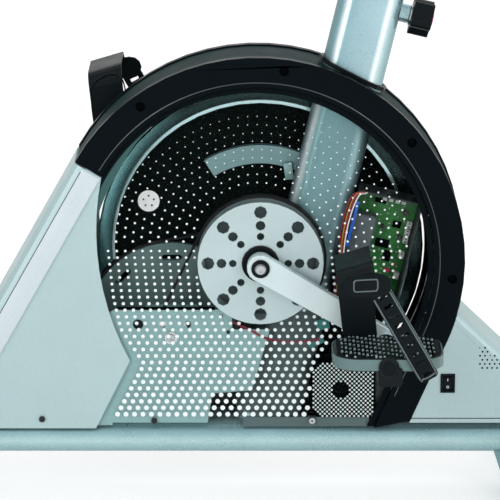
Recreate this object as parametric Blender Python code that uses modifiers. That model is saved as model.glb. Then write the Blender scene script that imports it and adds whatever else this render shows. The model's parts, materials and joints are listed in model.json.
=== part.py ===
"""Bicycle ergometer with a see-through drive housing.

The model is laid out from the crank axis: X points to the rear of the machine, Y to the rider's
right and Z up. One root empty lifts the crank to its height over the floor, so the machine stands
on Z = 0 with its footprint centred on the origin. Lengths are metres.
"""

import math

import bmesh
import bpy
from mathutils import Matrix, Vector

# Base rail and feet
RAIL_WIDTH = 0.080
RAIL_HEIGHT = 0.040
RAIL_WALL = 0.0025
RAIL_DROP = 0.2205
RAIL_FRONT = -0.557
RAIL_REAR = 0.392
RAIL_CAP = 0.006
FOOT_FRONT_X = -0.505
FOOT_REAR_X = 0.330
FOOT_LENGTH = 0.470
FOOT_RADIUS = 0.025
FOOT_CAP_RADIUS = 0.029
FOOT_CAP_END = 0.262
FOOT_CAP_START = 0.213
FOOT_SEAT = 0.004
LEVEL_LIFT = 0.004
WHEEL_RADIUS = 0.021
WHEEL_REACH = 0.052
WHEEL_LIFT = 0.004

# Drive, two belt stages back to a flywheel that runs on the crank axle
CRANK_LENGTH = 0.170
CRANK_ANGLE = -30.5
AXLE_RADIUS = 0.0085
CRANK_PULLEY_RADIUS = 0.075
LAYSHAFT_X = -0.106
LAYSHAFT_Z = -0.095
LAYSHAFT_RADIUS = 0.0075
LAY_SMALL_RADIUS = 0.021
LAY_LARGE_RADIUS = 0.101
FLY_PULLEY_RADIUS = 0.027
FLYWHEEL_RADIUS = 0.195
FLYWHEEL_RIM_WIDTH = 0.020
GUARD_RADIUS = 0.074
BELT_THICKNESS = 0.0025
BELT_SLACK = 1.007

# Housing
RING_X = -0.004
RING_OUTER = 0.245
RING_INNER = 0.209
RING_START = 150.5
RING_END = -23.5
RING_FACE = 0.048
RING_BACK = 0.036
RING_SCREW_RADIUS = 0.231
COLLAR_ANGLE = 62.86
SIDE_FACE = 0.046
SIDE_WALL = 0.003
COVER_BOTTOM = -0.205
REAR_BOTTOM = -0.198
REAR_SLOPE = 43.7
CLEAR_OUT = 0.0425
CLEAR_IN = 0.0400

# Tubes that carry the saddle and the handlebar
TUBE_WIDTH = 0.075
TUBE_DEPTH = 0.040
TUBE_WALL = 0.002
SEAT_LEAN = 13.4
SEAT_OFFSET = 0.056
SEAT_TUBE_TOP = 0.345
POST_WIDTH = 0.066
POST_DEPTH = 0.031
POST_BOTTOM = 0.060
POST_TOP = 0.560
KNOB_HEIGHT = 0.307
COLUMN_X = -0.455
COLUMN_LEAN = 5.0
COLUMN_TOP_Z = 0.600
HEAD_RISE = 0.030
BAR_RADIUS = 0.0125

# Console, stated from the middle of the column's head
CONSOLE_X = -0.052
CONSOLE_Z = 0.085
CONSOLE_TILT = -35.0
CONSOLE_THICKNESS = 0.042
CONSOLE_WIDTH = 0.240
CONSOLE_HEIGHT = 0.170
CONSOLE_RISE = 0.062
DIAL_OUT = 0.075
DIAL_DOWN = 0.045

# Switch on the near side of the rear cover and mains inlet on its far side
SWITCH_X = 0.2226
SWITCH_Z = -0.1488
SWITCH_WIDTH = 0.0142
SWITCH_HEIGHT = 0.0202
SWITCH_FRAME = 0.0022
INLET_X = 0.2450
INLET_Z = -0.1500
INLET_WIDTH = 0.0280
INLET_HEIGHT = 0.0220

# Pedals and their toe straps
PEDAL_OUT = 0.143
PEDAL_LENGTH = 0.127
PEDAL_WIDTH = 0.096
PEDAL_TOP = 0.010
PEDAL_THICKNESS = 0.016
PEDAL_WEIGHT_DROP = 0.023
STRAP_X = -0.0290
STRAP_WIDTH = 0.040
STRAP_THICKNESS = 0.003
STRAP_HALF = 0.0490
STRAP_TOP = 0.116
STRAP_BEND = 0.018
STRAP_LEAN = 0.107
STRAP_CREST = 0.30
STRAP_OUTER_END = 0.090
TAIL_WIDTH = 0.024
TAIL_SLOT_PITCH = 0.0130

# Magnet arc, control tray and fan inside the housing
MAGNET_OUTER = 0.126
MAGNET_INNER = 0.104
TRAY_X = 0.1395
TRAY_Z = 0.0140
TRAY_WIDTH = 0.0770
TRAY_HEIGHT = 0.1250
TRAY_WALL = 0.002
FAN_X = 0.1020
FAN_Z = -0.1625
FAN_SIZE = 0.0700
FAN_HOLE = 0.0024
FAN_PITCH = 0.0074

# Saddle
SADDLE_REACH = 0.128
SADDLE_NOSE = 0.030
SADDLE_FLARE = 0.072
RAIL_RISE = 0.027

# Seating gap that neighbouring pieces keep
GAP = 0.0003

CRANK_HEIGHT = RAIL_DROP + RAIL_HEIGHT / 2 + FOOT_SEAT + FOOT_RADIUS + FOOT_CAP_RADIUS
FLOOR = -CRANK_HEIGHT
FOOT_Z = FLOOR + FOOT_CAP_RADIUS
RAIL_TOP = -RAIL_DROP + RAIL_HEIGHT / 2
MACHINE_FRONT = FOOT_FRONT_X - WHEEL_REACH - WHEEL_RADIUS
MACHINE_REAR = RAIL_REAR + GAP + RAIL_CAP
CRANK_X = -(MACHINE_FRONT + MACHINE_REAR) / 2

# Turns that lay a flat outline or a turned profile in the machine
SIDEWAYS = (math.radians(90), 0, 0)
ALONG_Y = (math.radians(-90), 0, 0)
ALONG_X = (math.radians(90), 0, math.radians(90))
LEVEL = (0, 0, 0)

SILVER = ("silver_paint", (0.62, 0.65, 0.66), 0.35, 0.7)
PANEL = ("silver_panel", (0.70, 0.73, 0.74), 0.45, 0.2)
BLACK = ("black_plastic", (0.02, 0.022, 0.025), 0.45, 0.0)
RUBBER = ("black_rubber", (0.015, 0.015, 0.017), 0.8, 0.0)
CASING = ("grey_green_plastic", (0.12, 0.17, 0.18), 0.5, 0.0)
CLEAR = ("clear_acrylic", (0.85, 0.92, 0.92), 0.05, 0.0)
STEEL = ("bright_steel", (0.60, 0.61, 0.62), 0.25, 1.0)
ALUMINIUM = ("cast_aluminium", (0.72, 0.74, 0.75), 0.38, 0.9)
SHEET = ("grey_sheet_metal", (0.60, 0.66, 0.66), 0.45, 0.6)
GUARD = ("satin_disc", (0.80, 0.83, 0.83), 0.35, 0.4)
DISC = ("black_disc", (0.012, 0.013, 0.014), 0.4, 0.2)
PULLEY = ("grey_pulley", (0.30, 0.34, 0.34), 0.5, 0.1)
BOARD = ("green_board", (0.03, 0.22, 0.12), 0.5, 0.0)
GREY = ("grey_plastic", (0.16, 0.18, 0.19), 0.5, 0.0)
PAD = ("black_cushion", (0.03, 0.03, 0.033), 0.85, 0.0)


def clear_scene():
    """Remove what the file opened with."""
    for old in list(bpy.data.objects):
        bpy.data.objects.remove(old)


def new_collection(name):
    """Make a collection in the scene."""
    group = bpy.data.collections.new(name)
    bpy.context.scene.collection.children.link(group)
    return group


def finish(spec):
    """Return the material of one finish, made the first time it is asked for."""
    name, colour, roughness, metallic = spec
    known = bpy.data.materials.get(name)
    if known:
        return known
    made = bpy.data.materials.new(name)
    made.use_nodes = True
    shader = made.node_tree.nodes["Principled BSDF"]
    shader.inputs["Base Color"].default_value = (*colour, 1)
    shader.inputs["Roughness"].default_value = roughness
    shader.inputs["Metallic"].default_value = metallic
    made.diffuse_color = (*colour, 1)
    return made


def polar(radius, angle, centre=(0, 0)):
    """Return a point at an angle in degrees on a circle."""
    turn = math.radians(angle)
    return (centre[0] + radius * math.cos(turn), centre[1] + radius * math.sin(turn))


def arc(radius, start, end, steps, centre=(0, 0)):
    """Return the points of an arc, both ends included."""
    return [polar(radius, start + (end - start) * i / steps, centre) for i in range(steps + 1)]


def circle(radius, steps, centre=(0, 0), start=0):
    """Return the points of a closed circle."""
    return arc(radius, start, start + 360, steps, centre)[:-1]


def flat_oval(length, breadth, steps=6):
    """Return a slot shape: two straight sides and two half circles."""
    radius = breadth / 2
    reach = length / 2 - radius
    return arc(radius, -90, 90, steps, (reach, 0)) + arc(radius, 90, 270, steps, (-reach, 0))


def rectangle(width, height, centre=(0, 0)):
    """Return the corners of a rectangle."""
    x, y = centre
    w, h = width / 2, height / 2
    return [(x - w, y - h), (x + w, y - h), (x + w, y + h), (x - w, y + h)]


def rounded(corners, radius, steps=4):
    """Round every corner of an outline with an arc that meets both its sides."""
    points = []
    for i, corner in enumerate(corners):
        here = Vector(corner)
        back = (Vector(corners[i - 1]) - here).normalized()
        ahead = (Vector(corners[(i + 1) % len(corners)]) - here).normalized()
        half = back.angle(ahead) / 2
        centre = here + (back + ahead).normalized() * radius / math.sin(half)
        first = here + back * radius / math.tan(half) - centre
        last = here + ahead * radius / math.tan(half) - centre
        sweep = first.angle_signed(last)
        for k in range(steps + 1):
            turned_to = first.copy()
            turned_to.rotate(Matrix.Rotation(-sweep * k / steps, 2))
            points.append(tuple(centre + turned_to))
    return points


def circle_through(first, middle, last):
    """Return the centre and the radius of the circle through three points."""
    (ax, ay), (bx, by), (cx, cy) = first, middle, last
    d = 2 * (ax * (by - cy) + bx * (cy - ay) + cx * (ay - by))
    a, b, c = ax * ax + ay * ay, bx * bx + by * by, cx * cx + cy * cy
    x = (a * (by - cy) + b * (cy - ay) + c * (ay - by)) / d
    y = (a * (cx - bx) + b * (ax - cx) + c * (bx - ax)) / d
    return (x, y), math.dist((x, y), first)


def arc_through(first, middle, last, steps):
    """Return the arc from the first point to the last one by way of the middle one."""
    centre, radius = circle_through(first, middle, last)
    start = math.degrees(math.atan2(first[1] - centre[1], first[0] - centre[0]))
    end = math.degrees(math.atan2(last[1] - centre[1], last[0] - centre[0]))
    sweep = (end - start + 180) % 360 - 180
    return arc(radius, start, start + sweep, steps, centre)


def hull(first, first_radius, second, second_radius, steps):
    """Return the outline that wraps two circles, as a belt does."""
    dx, dy = second[0] - first[0], second[1] - first[1]
    heading = math.degrees(math.atan2(dy, dx))
    flare = math.degrees(math.acos((first_radius - second_radius) / math.hypot(dx, dy)))
    around_first = arc(first_radius, heading + flare, heading + 360 - flare, steps, first)
    around_second = arc(second_radius, heading - flare, heading + flare, steps, second)
    return around_first + around_second


def weld(mesh):
    """Join the loose seams of a mesh and turn its faces outwards."""
    work = bmesh.new()
    work.from_mesh(mesh)
    bmesh.ops.remove_doubles(work, verts=work.verts, dist=1e-6)
    bmesh.ops.recalc_face_normals(work, faces=work.faces)
    work.to_mesh(mesh)
    work.free()


def curve_to_mesh(curve):
    """Turn a curve into a closed mesh."""
    holder = bpy.data.objects.new(curve.name, curve)
    bpy.context.scene.collection.objects.link(holder)
    bpy.context.view_layer.update()
    seen = holder.evaluated_get(bpy.context.evaluated_depsgraph_get())
    mesh = bpy.data.meshes.new_from_object(seen)
    bpy.data.objects.remove(holder)
    bpy.data.curves.remove(curve)
    weld(mesh)
    return mesh


def flat_mesh(outlines, thickness):
    """Fill a flat outline, with the further outlines as holes, and give it a thickness."""
    curve = bpy.data.curves.new("outline", "CURVE")
    curve.dimensions = "2D"
    curve.fill_mode = "BOTH"
    curve.extrude = thickness / 2
    for outline in outlines:
        spline = curve.splines.new("POLY")
        spline.points.add(len(outline) - 1)
        for point, place in zip(spline.points, outline):
            point.co = (place[0], place[1], 0, 1)
        spline.use_cyclic_u = True
    mesh = curve_to_mesh(curve)
    even_caps(mesh)
    return mesh


def even_caps(mesh):
    """Turn the diagonals of a flat piece's two faces, so that no triangle is a sliver."""
    work = bmesh.new()
    work.from_mesh(mesh)
    caps = {face for face in work.faces if len({round(vert.co.z, 6) for vert in face.verts}) == 1}
    inner = [edge for edge in work.edges if all(face in caps for face in edge.link_faces)]
    bmesh.ops.beautify_fill(work, faces=list(caps), edges=inner, method="ANGLE")
    work.to_mesh(mesh)
    work.free()


def wire_mesh(places, radius, resolution=3):
    """Run a round bar along a line of places."""
    curve = bpy.data.curves.new("wire", "CURVE")
    curve.dimensions = "3D"
    curve.bevel_depth = radius
    curve.bevel_resolution = resolution
    curve.use_fill_caps = True
    spline = curve.splines.new("POLY")
    spline.points.add(len(places) - 1)
    for point, place in zip(spline.points, places):
        point.co = (*place, 1)
    return curve_to_mesh(curve)


def smooth_path(corners, radius, steps):
    """Round the inner corners of a path in space."""
    path = [Vector(corners[0])]
    for i in range(1, len(corners) - 1):
        here = Vector(corners[i])
        back = (Vector(corners[i - 1]) - here).normalized()
        ahead = (Vector(corners[i + 1]) - here).normalized()
        half = back.angle(ahead) / 2
        first = here + back * radius / math.tan(half)
        last = here + ahead * radius / math.tan(half)
        for k in range(steps + 1):
            t = k / steps
            path.append(first * (1 - t) ** 2 + here * 2 * t * (1 - t) + last * t ** 2)
    path.append(Vector(corners[-1]))
    return path


def put(name, mesh, spec, place=(0, 0, 0), turn=LEVEL, parent=None, group="ergometer"):
    """Add a mesh to the machine as one named piece."""
    mesh.name = name
    mesh.materials.clear()
    mesh.materials.append(finish(spec))
    mesh.shade_smooth()
    mesh.set_sharp_from_angle(angle=math.radians(32))
    piece = bpy.data.objects.new(name, mesh)
    piece.location = place
    piece.rotation_euler = turn
    piece.parent = parent
    bpy.data.collections[group].objects.link(piece)
    return piece


def plate(name, outlines, thickness, spec, place, turn, parent):
    """Add a flat piece whose middle plane is at its place."""
    return put(name, flat_mesh(outlines, thickness), spec, place, turn, parent)


def side_plate(name, outlines, near, far, spec, parent, x=0, z=0):
    """Add a flat piece that stands upright along the machine, between two Y planes."""
    return plate(name, outlines, abs(far - near), spec, (x, (near + far) / 2, z), SIDEWAYS, parent)


def turned(name, profile, steps, spec, place, turn, parent, closed=False):
    """Add a turned piece from a profile of (radius, height), top to bottom on its outer side."""
    mesh = bpy.data.meshes.new(name)
    count = len(profile)
    edges = [(i, (i + 1) % count) for i in range(count if closed else count - 1)]
    mesh.from_pydata([(r, 0, h) for r, h in profile], edges, [])
    piece = put(name, mesh, spec, place, turn, parent)
    screw = piece.modifiers.new("revolve", "SCREW")
    screw.angle = math.radians(360)
    screw.steps = steps
    screw.render_steps = steps
    screw.use_merge_vertices = True
    screw.merge_threshold = 0.00001
    screw.use_smooth_shade = True
    return piece


def as_tool(piece):
    """Turn a piece into a cutter or an added form that the build leaves out."""
    group = bpy.data.collections["cutters"]
    for old in list(piece.users_collection):
        old.objects.unlink(piece)
    group.objects.link(piece)
    piece.hide_render = True
    piece.display_type = "WIRE"
    return piece


def combine(piece, tool, operation, solver):
    """Cut a tool out of a piece, or join it on."""
    as_tool(tool)
    step = piece.modifiers.new(tool.name, "BOOLEAN")
    step.operation = operation
    step.object = tool
    step.solver = solver
    return step


def cut(piece, tool, solver="EXACT"):
    """Cut a tool out of a piece."""
    return combine(piece, tool, "DIFFERENCE", solver)


def join(piece, tool, solver="EXACT"):
    """Join a tool on to a piece."""
    return combine(piece, tool, "UNION", solver)


def soften(piece, width, segments=1, angle=35):
    """Break the sharp edges of a piece."""
    bevel = piece.modifiers.new("bevel", "BEVEL")
    bevel.width = width
    bevel.segments = segments
    bevel.limit_method = "ANGLE"
    bevel.angle_limit = math.radians(angle)
    return bevel


def round_edges(piece, first, last, width, segments):
    """Round the two long edges of a side plate that run from one outline point to another."""
    work = bmesh.new()
    work.from_mesh(piece.data)
    edges = []
    for edge in work.edges:
        flat = [vert.co.xy for vert in edge.verts]
        for start, end in (flat, flat[::-1]):
            if (start - Vector(first)).length < 0.0005 and (end - Vector(last)).length < 0.0005:
                edges.append(edge)
    bmesh.ops.bevel(work, geom=edges, offset=width, segments=segments, profile=0.5, affect="EDGES",
                    clamp_overlap=True)
    bmesh.ops.recalc_face_normals(work, faces=work.faces)
    work.to_mesh(piece.data)
    work.free()


def pivot(name, place, parent, turn=LEVEL):
    """Add an empty on a joint's axis."""
    empty = bpy.data.objects.new(name, None)
    empty.location = place
    empty.rotation_euler = turn
    empty.parent = parent
    empty.empty_display_size = 0.03
    bpy.data.collections["ergometer"].objects.link(empty)
    return empty


def tube_section(length, breadth, wall):
    """Return the outer and the inner outline of a flat-oval tube."""
    return [flat_oval(length, breadth), flat_oval(length - 2 * wall, breadth - 2 * wall)]


def build_base_rail(root):
    """Flat-oval rail with a welded saddle over each foot, and its two end caps."""
    middle = ((RAIL_FRONT + RAIL_REAR) / 2, 0, -RAIL_DROP)
    section = tube_section(RAIL_WIDTH, RAIL_HEIGHT, RAIL_WALL)
    rail = plate("base_rail", section, RAIL_REAR - RAIL_FRONT, SILVER, middle, ALONG_X, root)
    top = FOOT_RADIUS + FOOT_SEAT + RAIL_WALL / 2
    seat = FOOT_RADIUS + GAP
    for word, x in (("front", FOOT_FRONT_X), ("rear", FOOT_REAR_X)):
        outline = [(-0.040, 0)] + arc(seat, 180, 0, 12) + [(0.040, 0), (0.050, top), (-0.050, top)]
        join(rail, side_plate(f"{word}_saddle", [outline], -0.025, 0.025, SILVER, root, x, FOOT_Z))
    for word, end, way in (("front", RAIL_FRONT, -1), ("rear", RAIL_REAR, 1)):
        flange = [flat_oval(RAIL_WIDTH, RAIL_HEIGHT)]
        flange_x = end + way * (GAP + RAIL_CAP / 2)
        place = (flange_x, 0, -RAIL_DROP)
        cap = plate(f"{word}_rail_cap", flange, RAIL_CAP, BLACK, place, ALONG_X, root)
        slack = 2 * (RAIL_WALL + GAP)
        plug = [flat_oval(RAIL_WIDTH - slack, RAIL_HEIGHT - slack)]
        place = (end - way * 0.006, 0, -RAIL_DROP)
        join(cap, plate(f"{word}_rail_plug", plug, 0.016, BLACK, place, ALONG_X, root))


def build_feet(root):
    """Cross tubes, the fixed front caps with their wheels, and the cam caps that level the rear."""
    half = FOOT_LENGTH / 2
    for word, x in (("front", FOOT_FRONT_X), ("rear", FOOT_REAR_X)):
        section = [circle(FOOT_RADIUS, 24), circle(FOOT_RADIUS - RAIL_WALL, 24)]
        side_plate(f"{word}_foot_tube", section, -half, half, SILVER, root, x, FOOT_Z)
    bore = FOOT_RADIUS + GAP
    floor_of_bore = half + GAP
    for word, way in (("left", -1), ("right", 1)):
        turn = SIDEWAYS if way < 0 else ALONG_Y
        place = (FOOT_FRONT_X, 0, FOOT_Z)
        profile = [(0, FOOT_CAP_END), (0.024, FOOT_CAP_END), (FOOT_CAP_RADIUS, FOOT_CAP_END - 0.005),
                   (FOOT_CAP_RADIUS, FOOT_CAP_START), (bore, FOOT_CAP_START), (bore, floor_of_bore),
                   (0, floor_of_bore)]
        cap = turned(f"{word}_front_cap", profile, 24, BLACK, place, turn, root)
        build_wheel(word, way, turn, cap, root)
        build_level_cap(word, way, root)


def build_wheel(word, way, turn, cap, root):
    """Transport wheel on a lug that is moulded to a front cap."""
    wheel_x = -WHEEL_REACH
    wheel_z = FLOOR + WHEEL_LIFT + WHEEL_RADIUS - FOOT_Z
    lug = [hull((0, 0), FOOT_CAP_RADIUS - 0.0006, (wheel_x, wheel_z), 0.010, 6),
           circle(FOOT_RADIUS + 0.0012, 20)]
    lug_planes = sorted((way * 0.2140, way * 0.2200))
    join(cap, side_plate(f"{word}_lug", lug, *lug_planes, BLACK, root, FOOT_FRONT_X, FOOT_Z))
    place = (FOOT_FRONT_X + wheel_x, 0, FOOT_Z + wheel_z)
    pin = [(0, 0.2450), (0.0055, 0.2450), (0.0065, 0.2440), (0.0065, 0.2415), (0.0040, 0.2415),
           (0.0040, 0.2160), (0, 0.2160)]
    join(cap, turned(f"{word}_wheel_pin", pin, 12, BLACK, place, turn, root))
    hub = pivot(f"{word}_wheel_axis", place, root)
    tread = [(0.0043, 0.2405), (0.0170, 0.2405), (0.0200, 0.2395), (WHEEL_RADIUS, 0.2370),
             (WHEEL_RADIUS, 0.2250), (0.0200, 0.2225), (0.0170, 0.2215), (0.0043, 0.2215)]
    turned(f"{word}_transport_wheel", tread, 20, RUBBER, (0, 0, 0), turn, hub, closed=True)


def build_level_cap(word, way, root):
    """Cam-shaped end cap: turned by hand it lifts its end of the rear foot."""
    hub = pivot(f"{word}_level_axis", (FOOT_REAR_X, 0, FOOT_Z), root)
    outline = []
    for i in range(20):
        phase = 360 * i / 20
        radius = FOOT_CAP_RADIUS + LEVEL_LIFT * (1 - math.cos(math.radians(phase))) / 2
        outline.append(polar(radius, phase - 90))
    planes = sorted((way * (FOOT_LENGTH / 2 + GAP), way * FOOT_CAP_END))
    cap = side_plate(f"{word}_level_cap", [outline], *planes, BLACK, hub)
    soften(cap, 0.003)
    planes = sorted((way * FOOT_CAP_START, way * (FOOT_LENGTH / 2 + 0.006)))
    skirt = [[(x * 0.985, z * 0.985) for x, z in outline], circle(FOOT_RADIUS + 2 * GAP, 20)]
    join(cap, side_plate(f"{word}_level_skirt", skirt, *planes, BLACK, hub))


def seat_axis(distance, across=0.0):
    """Return the place at a distance up the seat tube's centre line, and a step behind it."""
    lean = math.radians(SEAT_LEAN)
    x = SEAT_OFFSET + distance * math.sin(lean) + across * math.cos(lean)
    z = distance * math.cos(lean) - across * math.sin(lean)
    return (x, 0, z)


def build_seat_tube(root):
    """Leaning tube with the bottom bracket shell and the clamp boss welded on."""
    lean = (0, math.radians(SEAT_LEAN), 0)
    bottom = -0.235
    place = seat_axis((bottom + SEAT_TUBE_TOP) / 2)
    section = tube_section(TUBE_WIDTH, TUBE_DEPTH, TUBE_WALL)
    tube = plate("seat_tube", section, SEAT_TUBE_TOP - bottom, SILVER, place, lean, root)
    block_place = (0, 0, RAIL_TOP + GAP - 0.05)
    cut(tube, put("seat_tube_foot", box_mesh(0.20, 0.10, 0.10), SILVER, block_place, LEVEL, root))
    shell = [(0, 0.0195), (0.0225, 0.0195), (0.0225, -0.0215), (0, -0.0215)]
    join(tube, turned("bracket_shell", shell, 24, SILVER, (0, 0, 0), ALONG_Y, root))
    bore = AXLE_RADIUS + 0.0005
    hollow = [(0, 0.0300), (bore, 0.0300), (bore, 0.0130), (0.0150, 0.0120), (0.0150, -0.0140),
              (bore, -0.0150), (bore, -0.0300), (0, -0.0300)]
    cut(tube, turned("bracket_hollow", hollow, 16, SILVER, (0, 0, 0), ALONG_Y, root))
    across = (0, math.radians(SEAT_LEAN + 90), 0)
    boss = [(0, 0.0480), (0.0100, 0.0480), (0.0110, 0.0470), (0.0110, 0.0362), (0, 0.0362)]
    join(tube, turned("clamp_boss", boss, 16, SILVER, seat_axis(KNOB_HEIGHT), across, root))
    hole = [(0, 0.0600), (0.0045, 0.0600), (0.0045, 0.0300), (0, 0.0300)]
    cut(tube, turned("clamp_hole", hole, 12, SILVER, seat_axis(KNOB_HEIGHT), across, root))


def box_mesh(x, y, z):
    """Return a box about the origin."""
    mesh = bpy.data.meshes.new("box")
    work = bmesh.new()
    bmesh.ops.create_cube(work, size=1)
    bmesh.ops.scale(work, vec=(x, y, z), verts=work.verts)
    work.to_mesh(mesh)
    work.free()
    return mesh


def build_seat_sleeve(root):
    """Plastic guide in the mouth of the seat tube, with a lip over its end."""
    lean = (0, math.radians(SEAT_LEAN), 0)
    inner = flat_oval(POST_WIDTH + 2 * GAP, POST_DEPTH + 2 * GAP)
    slack = 2 * (TUBE_WALL + GAP)
    guide = [flat_oval(TUBE_WIDTH - slack, TUBE_DEPTH - slack), inner]
    lip_top = SEAT_TUBE_TOP + 0.010
    lip_middle = SEAT_TUBE_TOP + GAP + 0.005
    lip = [flat_oval(TUBE_WIDTH + 0.004, TUBE_DEPTH + 0.004), inner]
    sleeve = plate("seat_tube_sleeve", lip, 0.010, BLACK, seat_axis(lip_middle), lean, root)
    guide_length = 0.020
    guide_place = seat_axis(lip_top - guide_length / 2 - 0.005)
    join(sleeve, plate("sleeve_guide", guide, guide_length, BLACK, guide_place, lean, root))


def build_clamp_knob(root):
    """Star grip whose pin reaches through the boss to the seat post."""
    lean = math.radians(SEAT_LEAN + 90)
    hub = pivot("seat_knob_axis", seat_axis(KNOB_HEIGHT), root, (0, lean, 0))
    outline = []
    for i in range(40):
        phase = 360 * i / 40
        outline.append(polar(0.0195 + 0.0030 * math.cos(math.radians(phase * 5)), phase))
    knob = plate("seat_knob", [outline], 0.024, BLACK, (0, 0, 0.0625), LEVEL, hub)
    soften(knob, 0.002)
    pin = [(0, 0.0560), (0.0040, 0.0560), (0.0040, 0.0345), (0.0030, 0.0335), (0, 0.0335)]
    join(knob, turned("seat_knob_pin", pin, 12, STEEL, (0, 0, 0), LEVEL, hub))


def leg_point(radius, height):
    """Return the point of the housing's straight rear leg at a height, for a ring radius."""
    x, z = polar(radius, RING_END, (RING_X, 0))
    run = (z - height) / math.cos(math.radians(RING_END))
    return (x + run * math.sin(math.radians(RING_END)), height)


def slope_point(radius, height):
    """Return the point of the housing's straight front slope at a height, for a ring radius."""
    x, z = polar(radius, RING_START, (RING_X, 0))
    run = (z - height) / math.cos(math.radians(180 - RING_START))
    return (x - run * math.sin(math.radians(180 - RING_START)), height)


def hoop(outer, inner, start, outer_foot, inner_foot, steps=30):
    """Return the outline of a band that follows the ring and then its rear leg."""
    centre = (RING_X, 0)
    outside = arc(outer, start, RING_END, steps, centre) + [leg_point(outer, outer_foot)]
    inside = [leg_point(inner, inner_foot)] + arc(inner, RING_END, start, steps, centre)
    return outside + inside


def build_trim_rings(root):
    """Black hoop-shaped trim on each side, with its four screw recesses."""
    outline = hoop(RING_OUTER, RING_INNER, RING_START, -0.196, -0.2045)
    for word, way in (("left", -1), ("right", 1)):
        planes = sorted((way * RING_BACK, way * RING_FACE))
        ring = side_plate(f"{word}_trim_ring", [outline] + ring_recesses(), *planes, BLACK, root)
        soften(ring, 0.0025, 1, 60)


def ring_recesses():
    """Return the outlines of the screw recesses along the ring."""
    places = [polar(RING_SCREW_RADIUS, angle, (RING_X, 0)) for angle in (126, 82.2, 38.5, -5.2)]
    return [circle(0.0055, 8, place) for place in places]


def build_casing_band(root):
    """Perimeter wall between the two rings, open where the seat tube passes, and its grommet."""
    outline = hoop(RING_OUTER - 0.002, RING_OUTER - 0.005, RING_START - 0.2, -0.1985, -0.1985)
    half = RING_BACK - GAP
    band = side_plate("casing_band", [outline], -half, half, CASING, root)
    lean = (0, math.radians(SEAT_LEAN), 0)
    slot = [flat_oval(TUBE_WIDTH + 0.003, TUBE_DEPTH + 0.003)]
    cut(band, plate("tube_passage", slot, 0.080, CASING, seat_axis(0.223), lean, root))
    x, z = polar(RING_OUTER + 0.0008, COLLAR_ANGLE, (RING_X, 0))
    tilt = (0, math.radians(90 - COLLAR_ANGLE), 0)
    collar = [flat_oval(TUBE_WIDTH + 0.013, TUBE_DEPTH + 0.013)]
    collar.append(flat_oval(TUBE_WIDTH + 0.0055, TUBE_DEPTH + 0.0012))
    plate("seat_tube_collar", collar, 0.005, BLACK, (x, 0, z), tilt, root)


def shell_cover(name, block, inside, spec, root):
    """Hollow a cover block with an inner block and fit it round the rail."""
    half = SIDE_FACE - SIDE_WALL
    cut(block, side_plate(f"{name}_inside", [inside], -half, half, spec, root))
    clearance = [flat_oval(RAIL_WIDTH + 0.001, RAIL_HEIGHT + 0.001)]
    cut(block, plate(f"{name}_rail_fit", clearance, 1.2, spec, (-0.05, 0, -RAIL_DROP), ALONG_X, root))


def build_front_cover(root):
    """Silver front cover: flat cheeks, a raised band down the slope and a turned front edge."""
    corner = (-0.1548, -0.1213)
    waist = (-0.1925, 0.0148)
    top = polar(RING_INNER, RING_START + 0.3, (RING_X, 0))
    cheek = arc_through(corner, waist, top, 10)
    inset = RING_OUTER - 0.015
    outline = cheek + [slope_point(inset, polar(inset, RING_START)[1])]
    outline += [slope_point(inset, COVER_BOTTOM), (-0.196, COVER_BOTTOM)]
    cover = side_plate("front_cover", [outline], -SIDE_FACE, SIDE_FACE, PANEL, root)
    strip = [top, polar(RING_OUTER, RING_START + 0.3, (RING_X, 0))]
    strip += [slope_point(RING_OUTER, COVER_BOTTOM), slope_point(RING_INNER, COVER_BOTTOM)]
    band = side_plate("front_cover_band", [strip], -RING_FACE, RING_FACE, PANEL, root)
    round_edges(band, strip[1], strip[2], 0.010, 3)
    join(cover, band)
    high = polar(RING_OUTER - 0.003, RING_START, (RING_X, 0))
    low = slope_point(RING_OUTER - 0.003, -0.30)
    along = (Vector(high) - Vector(low)).normalized() * 0.03
    inside = [tuple(Vector(high) + along), low, (-0.10, -0.30), (-0.10, 0.16)]
    shell_cover("front_cover", cover, inside, PANEL, root)


def build_rear_cover(root):
    """Silver rear cover with the switch and inlet openings."""
    top_angle = -14.5
    radius = RING_OUTER + 0.0005
    crest = polar(radius, top_angle, (RING_X, 0))
    slope = math.radians(REAR_SLOPE)
    toe = (crest[0] + (crest[1] - REAR_BOTTOM) / math.tan(slope), REAR_BOTTOM)
    outline = [toe, crest] + arc(radius, top_angle, RING_END, 3, (RING_X, 0))[1:]
    outline.append(leg_point(radius, REAR_BOTTOM))
    cover = side_plate("rear_cover", [outline], -SIDE_FACE, SIDE_FACE, PANEL, root)
    round_edges(cover, crest, toe, 0.008, 3)
    inward = Vector((-math.sin(slope), -math.cos(slope))) * SIDE_WALL
    down = Vector((math.cos(slope), -math.sin(slope)))
    high = Vector(crest) + inward - down * 0.05
    low = Vector(toe) + inward + down * 0.05
    inside = [tuple(low), tuple(high), (0.10, high.y), (0.10, low.y)]
    shell_cover("rear_cover", cover, inside, PANEL, root)
    window = [rectangle(SWITCH_WIDTH, SWITCH_HEIGHT)]
    cut(cover, side_plate("switch_window", window, -0.055, -0.035, PANEL, root, SWITCH_X, SWITCH_Z))
    window = [rectangle(INLET_WIDTH, INLET_HEIGHT)]
    cut(cover, side_plate("inlet_window", window, 0.035, 0.055, PANEL, root, INLET_X, INLET_Z))


def build_clear_covers(root):
    """See-through side window inside each ring."""
    radius = RING_INNER - 0.0005
    centre = (RING_X, 0)
    outline = arc(radius, RING_END, 216, 44, centre)
    outline += [(-0.215, COVER_BOTTOM + 0.0005), leg_point(radius, COVER_BOTTOM + 0.0005)]
    hole = circle(0.026, 24)
    for word, way in (("left", -1), ("right", 1)):
        planes = sorted((way * CLEAR_IN, way * CLEAR_OUT))
        side_plate(f"{word}_clear_cover", [outline, hole], *planes, CLEAR, root)


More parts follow.
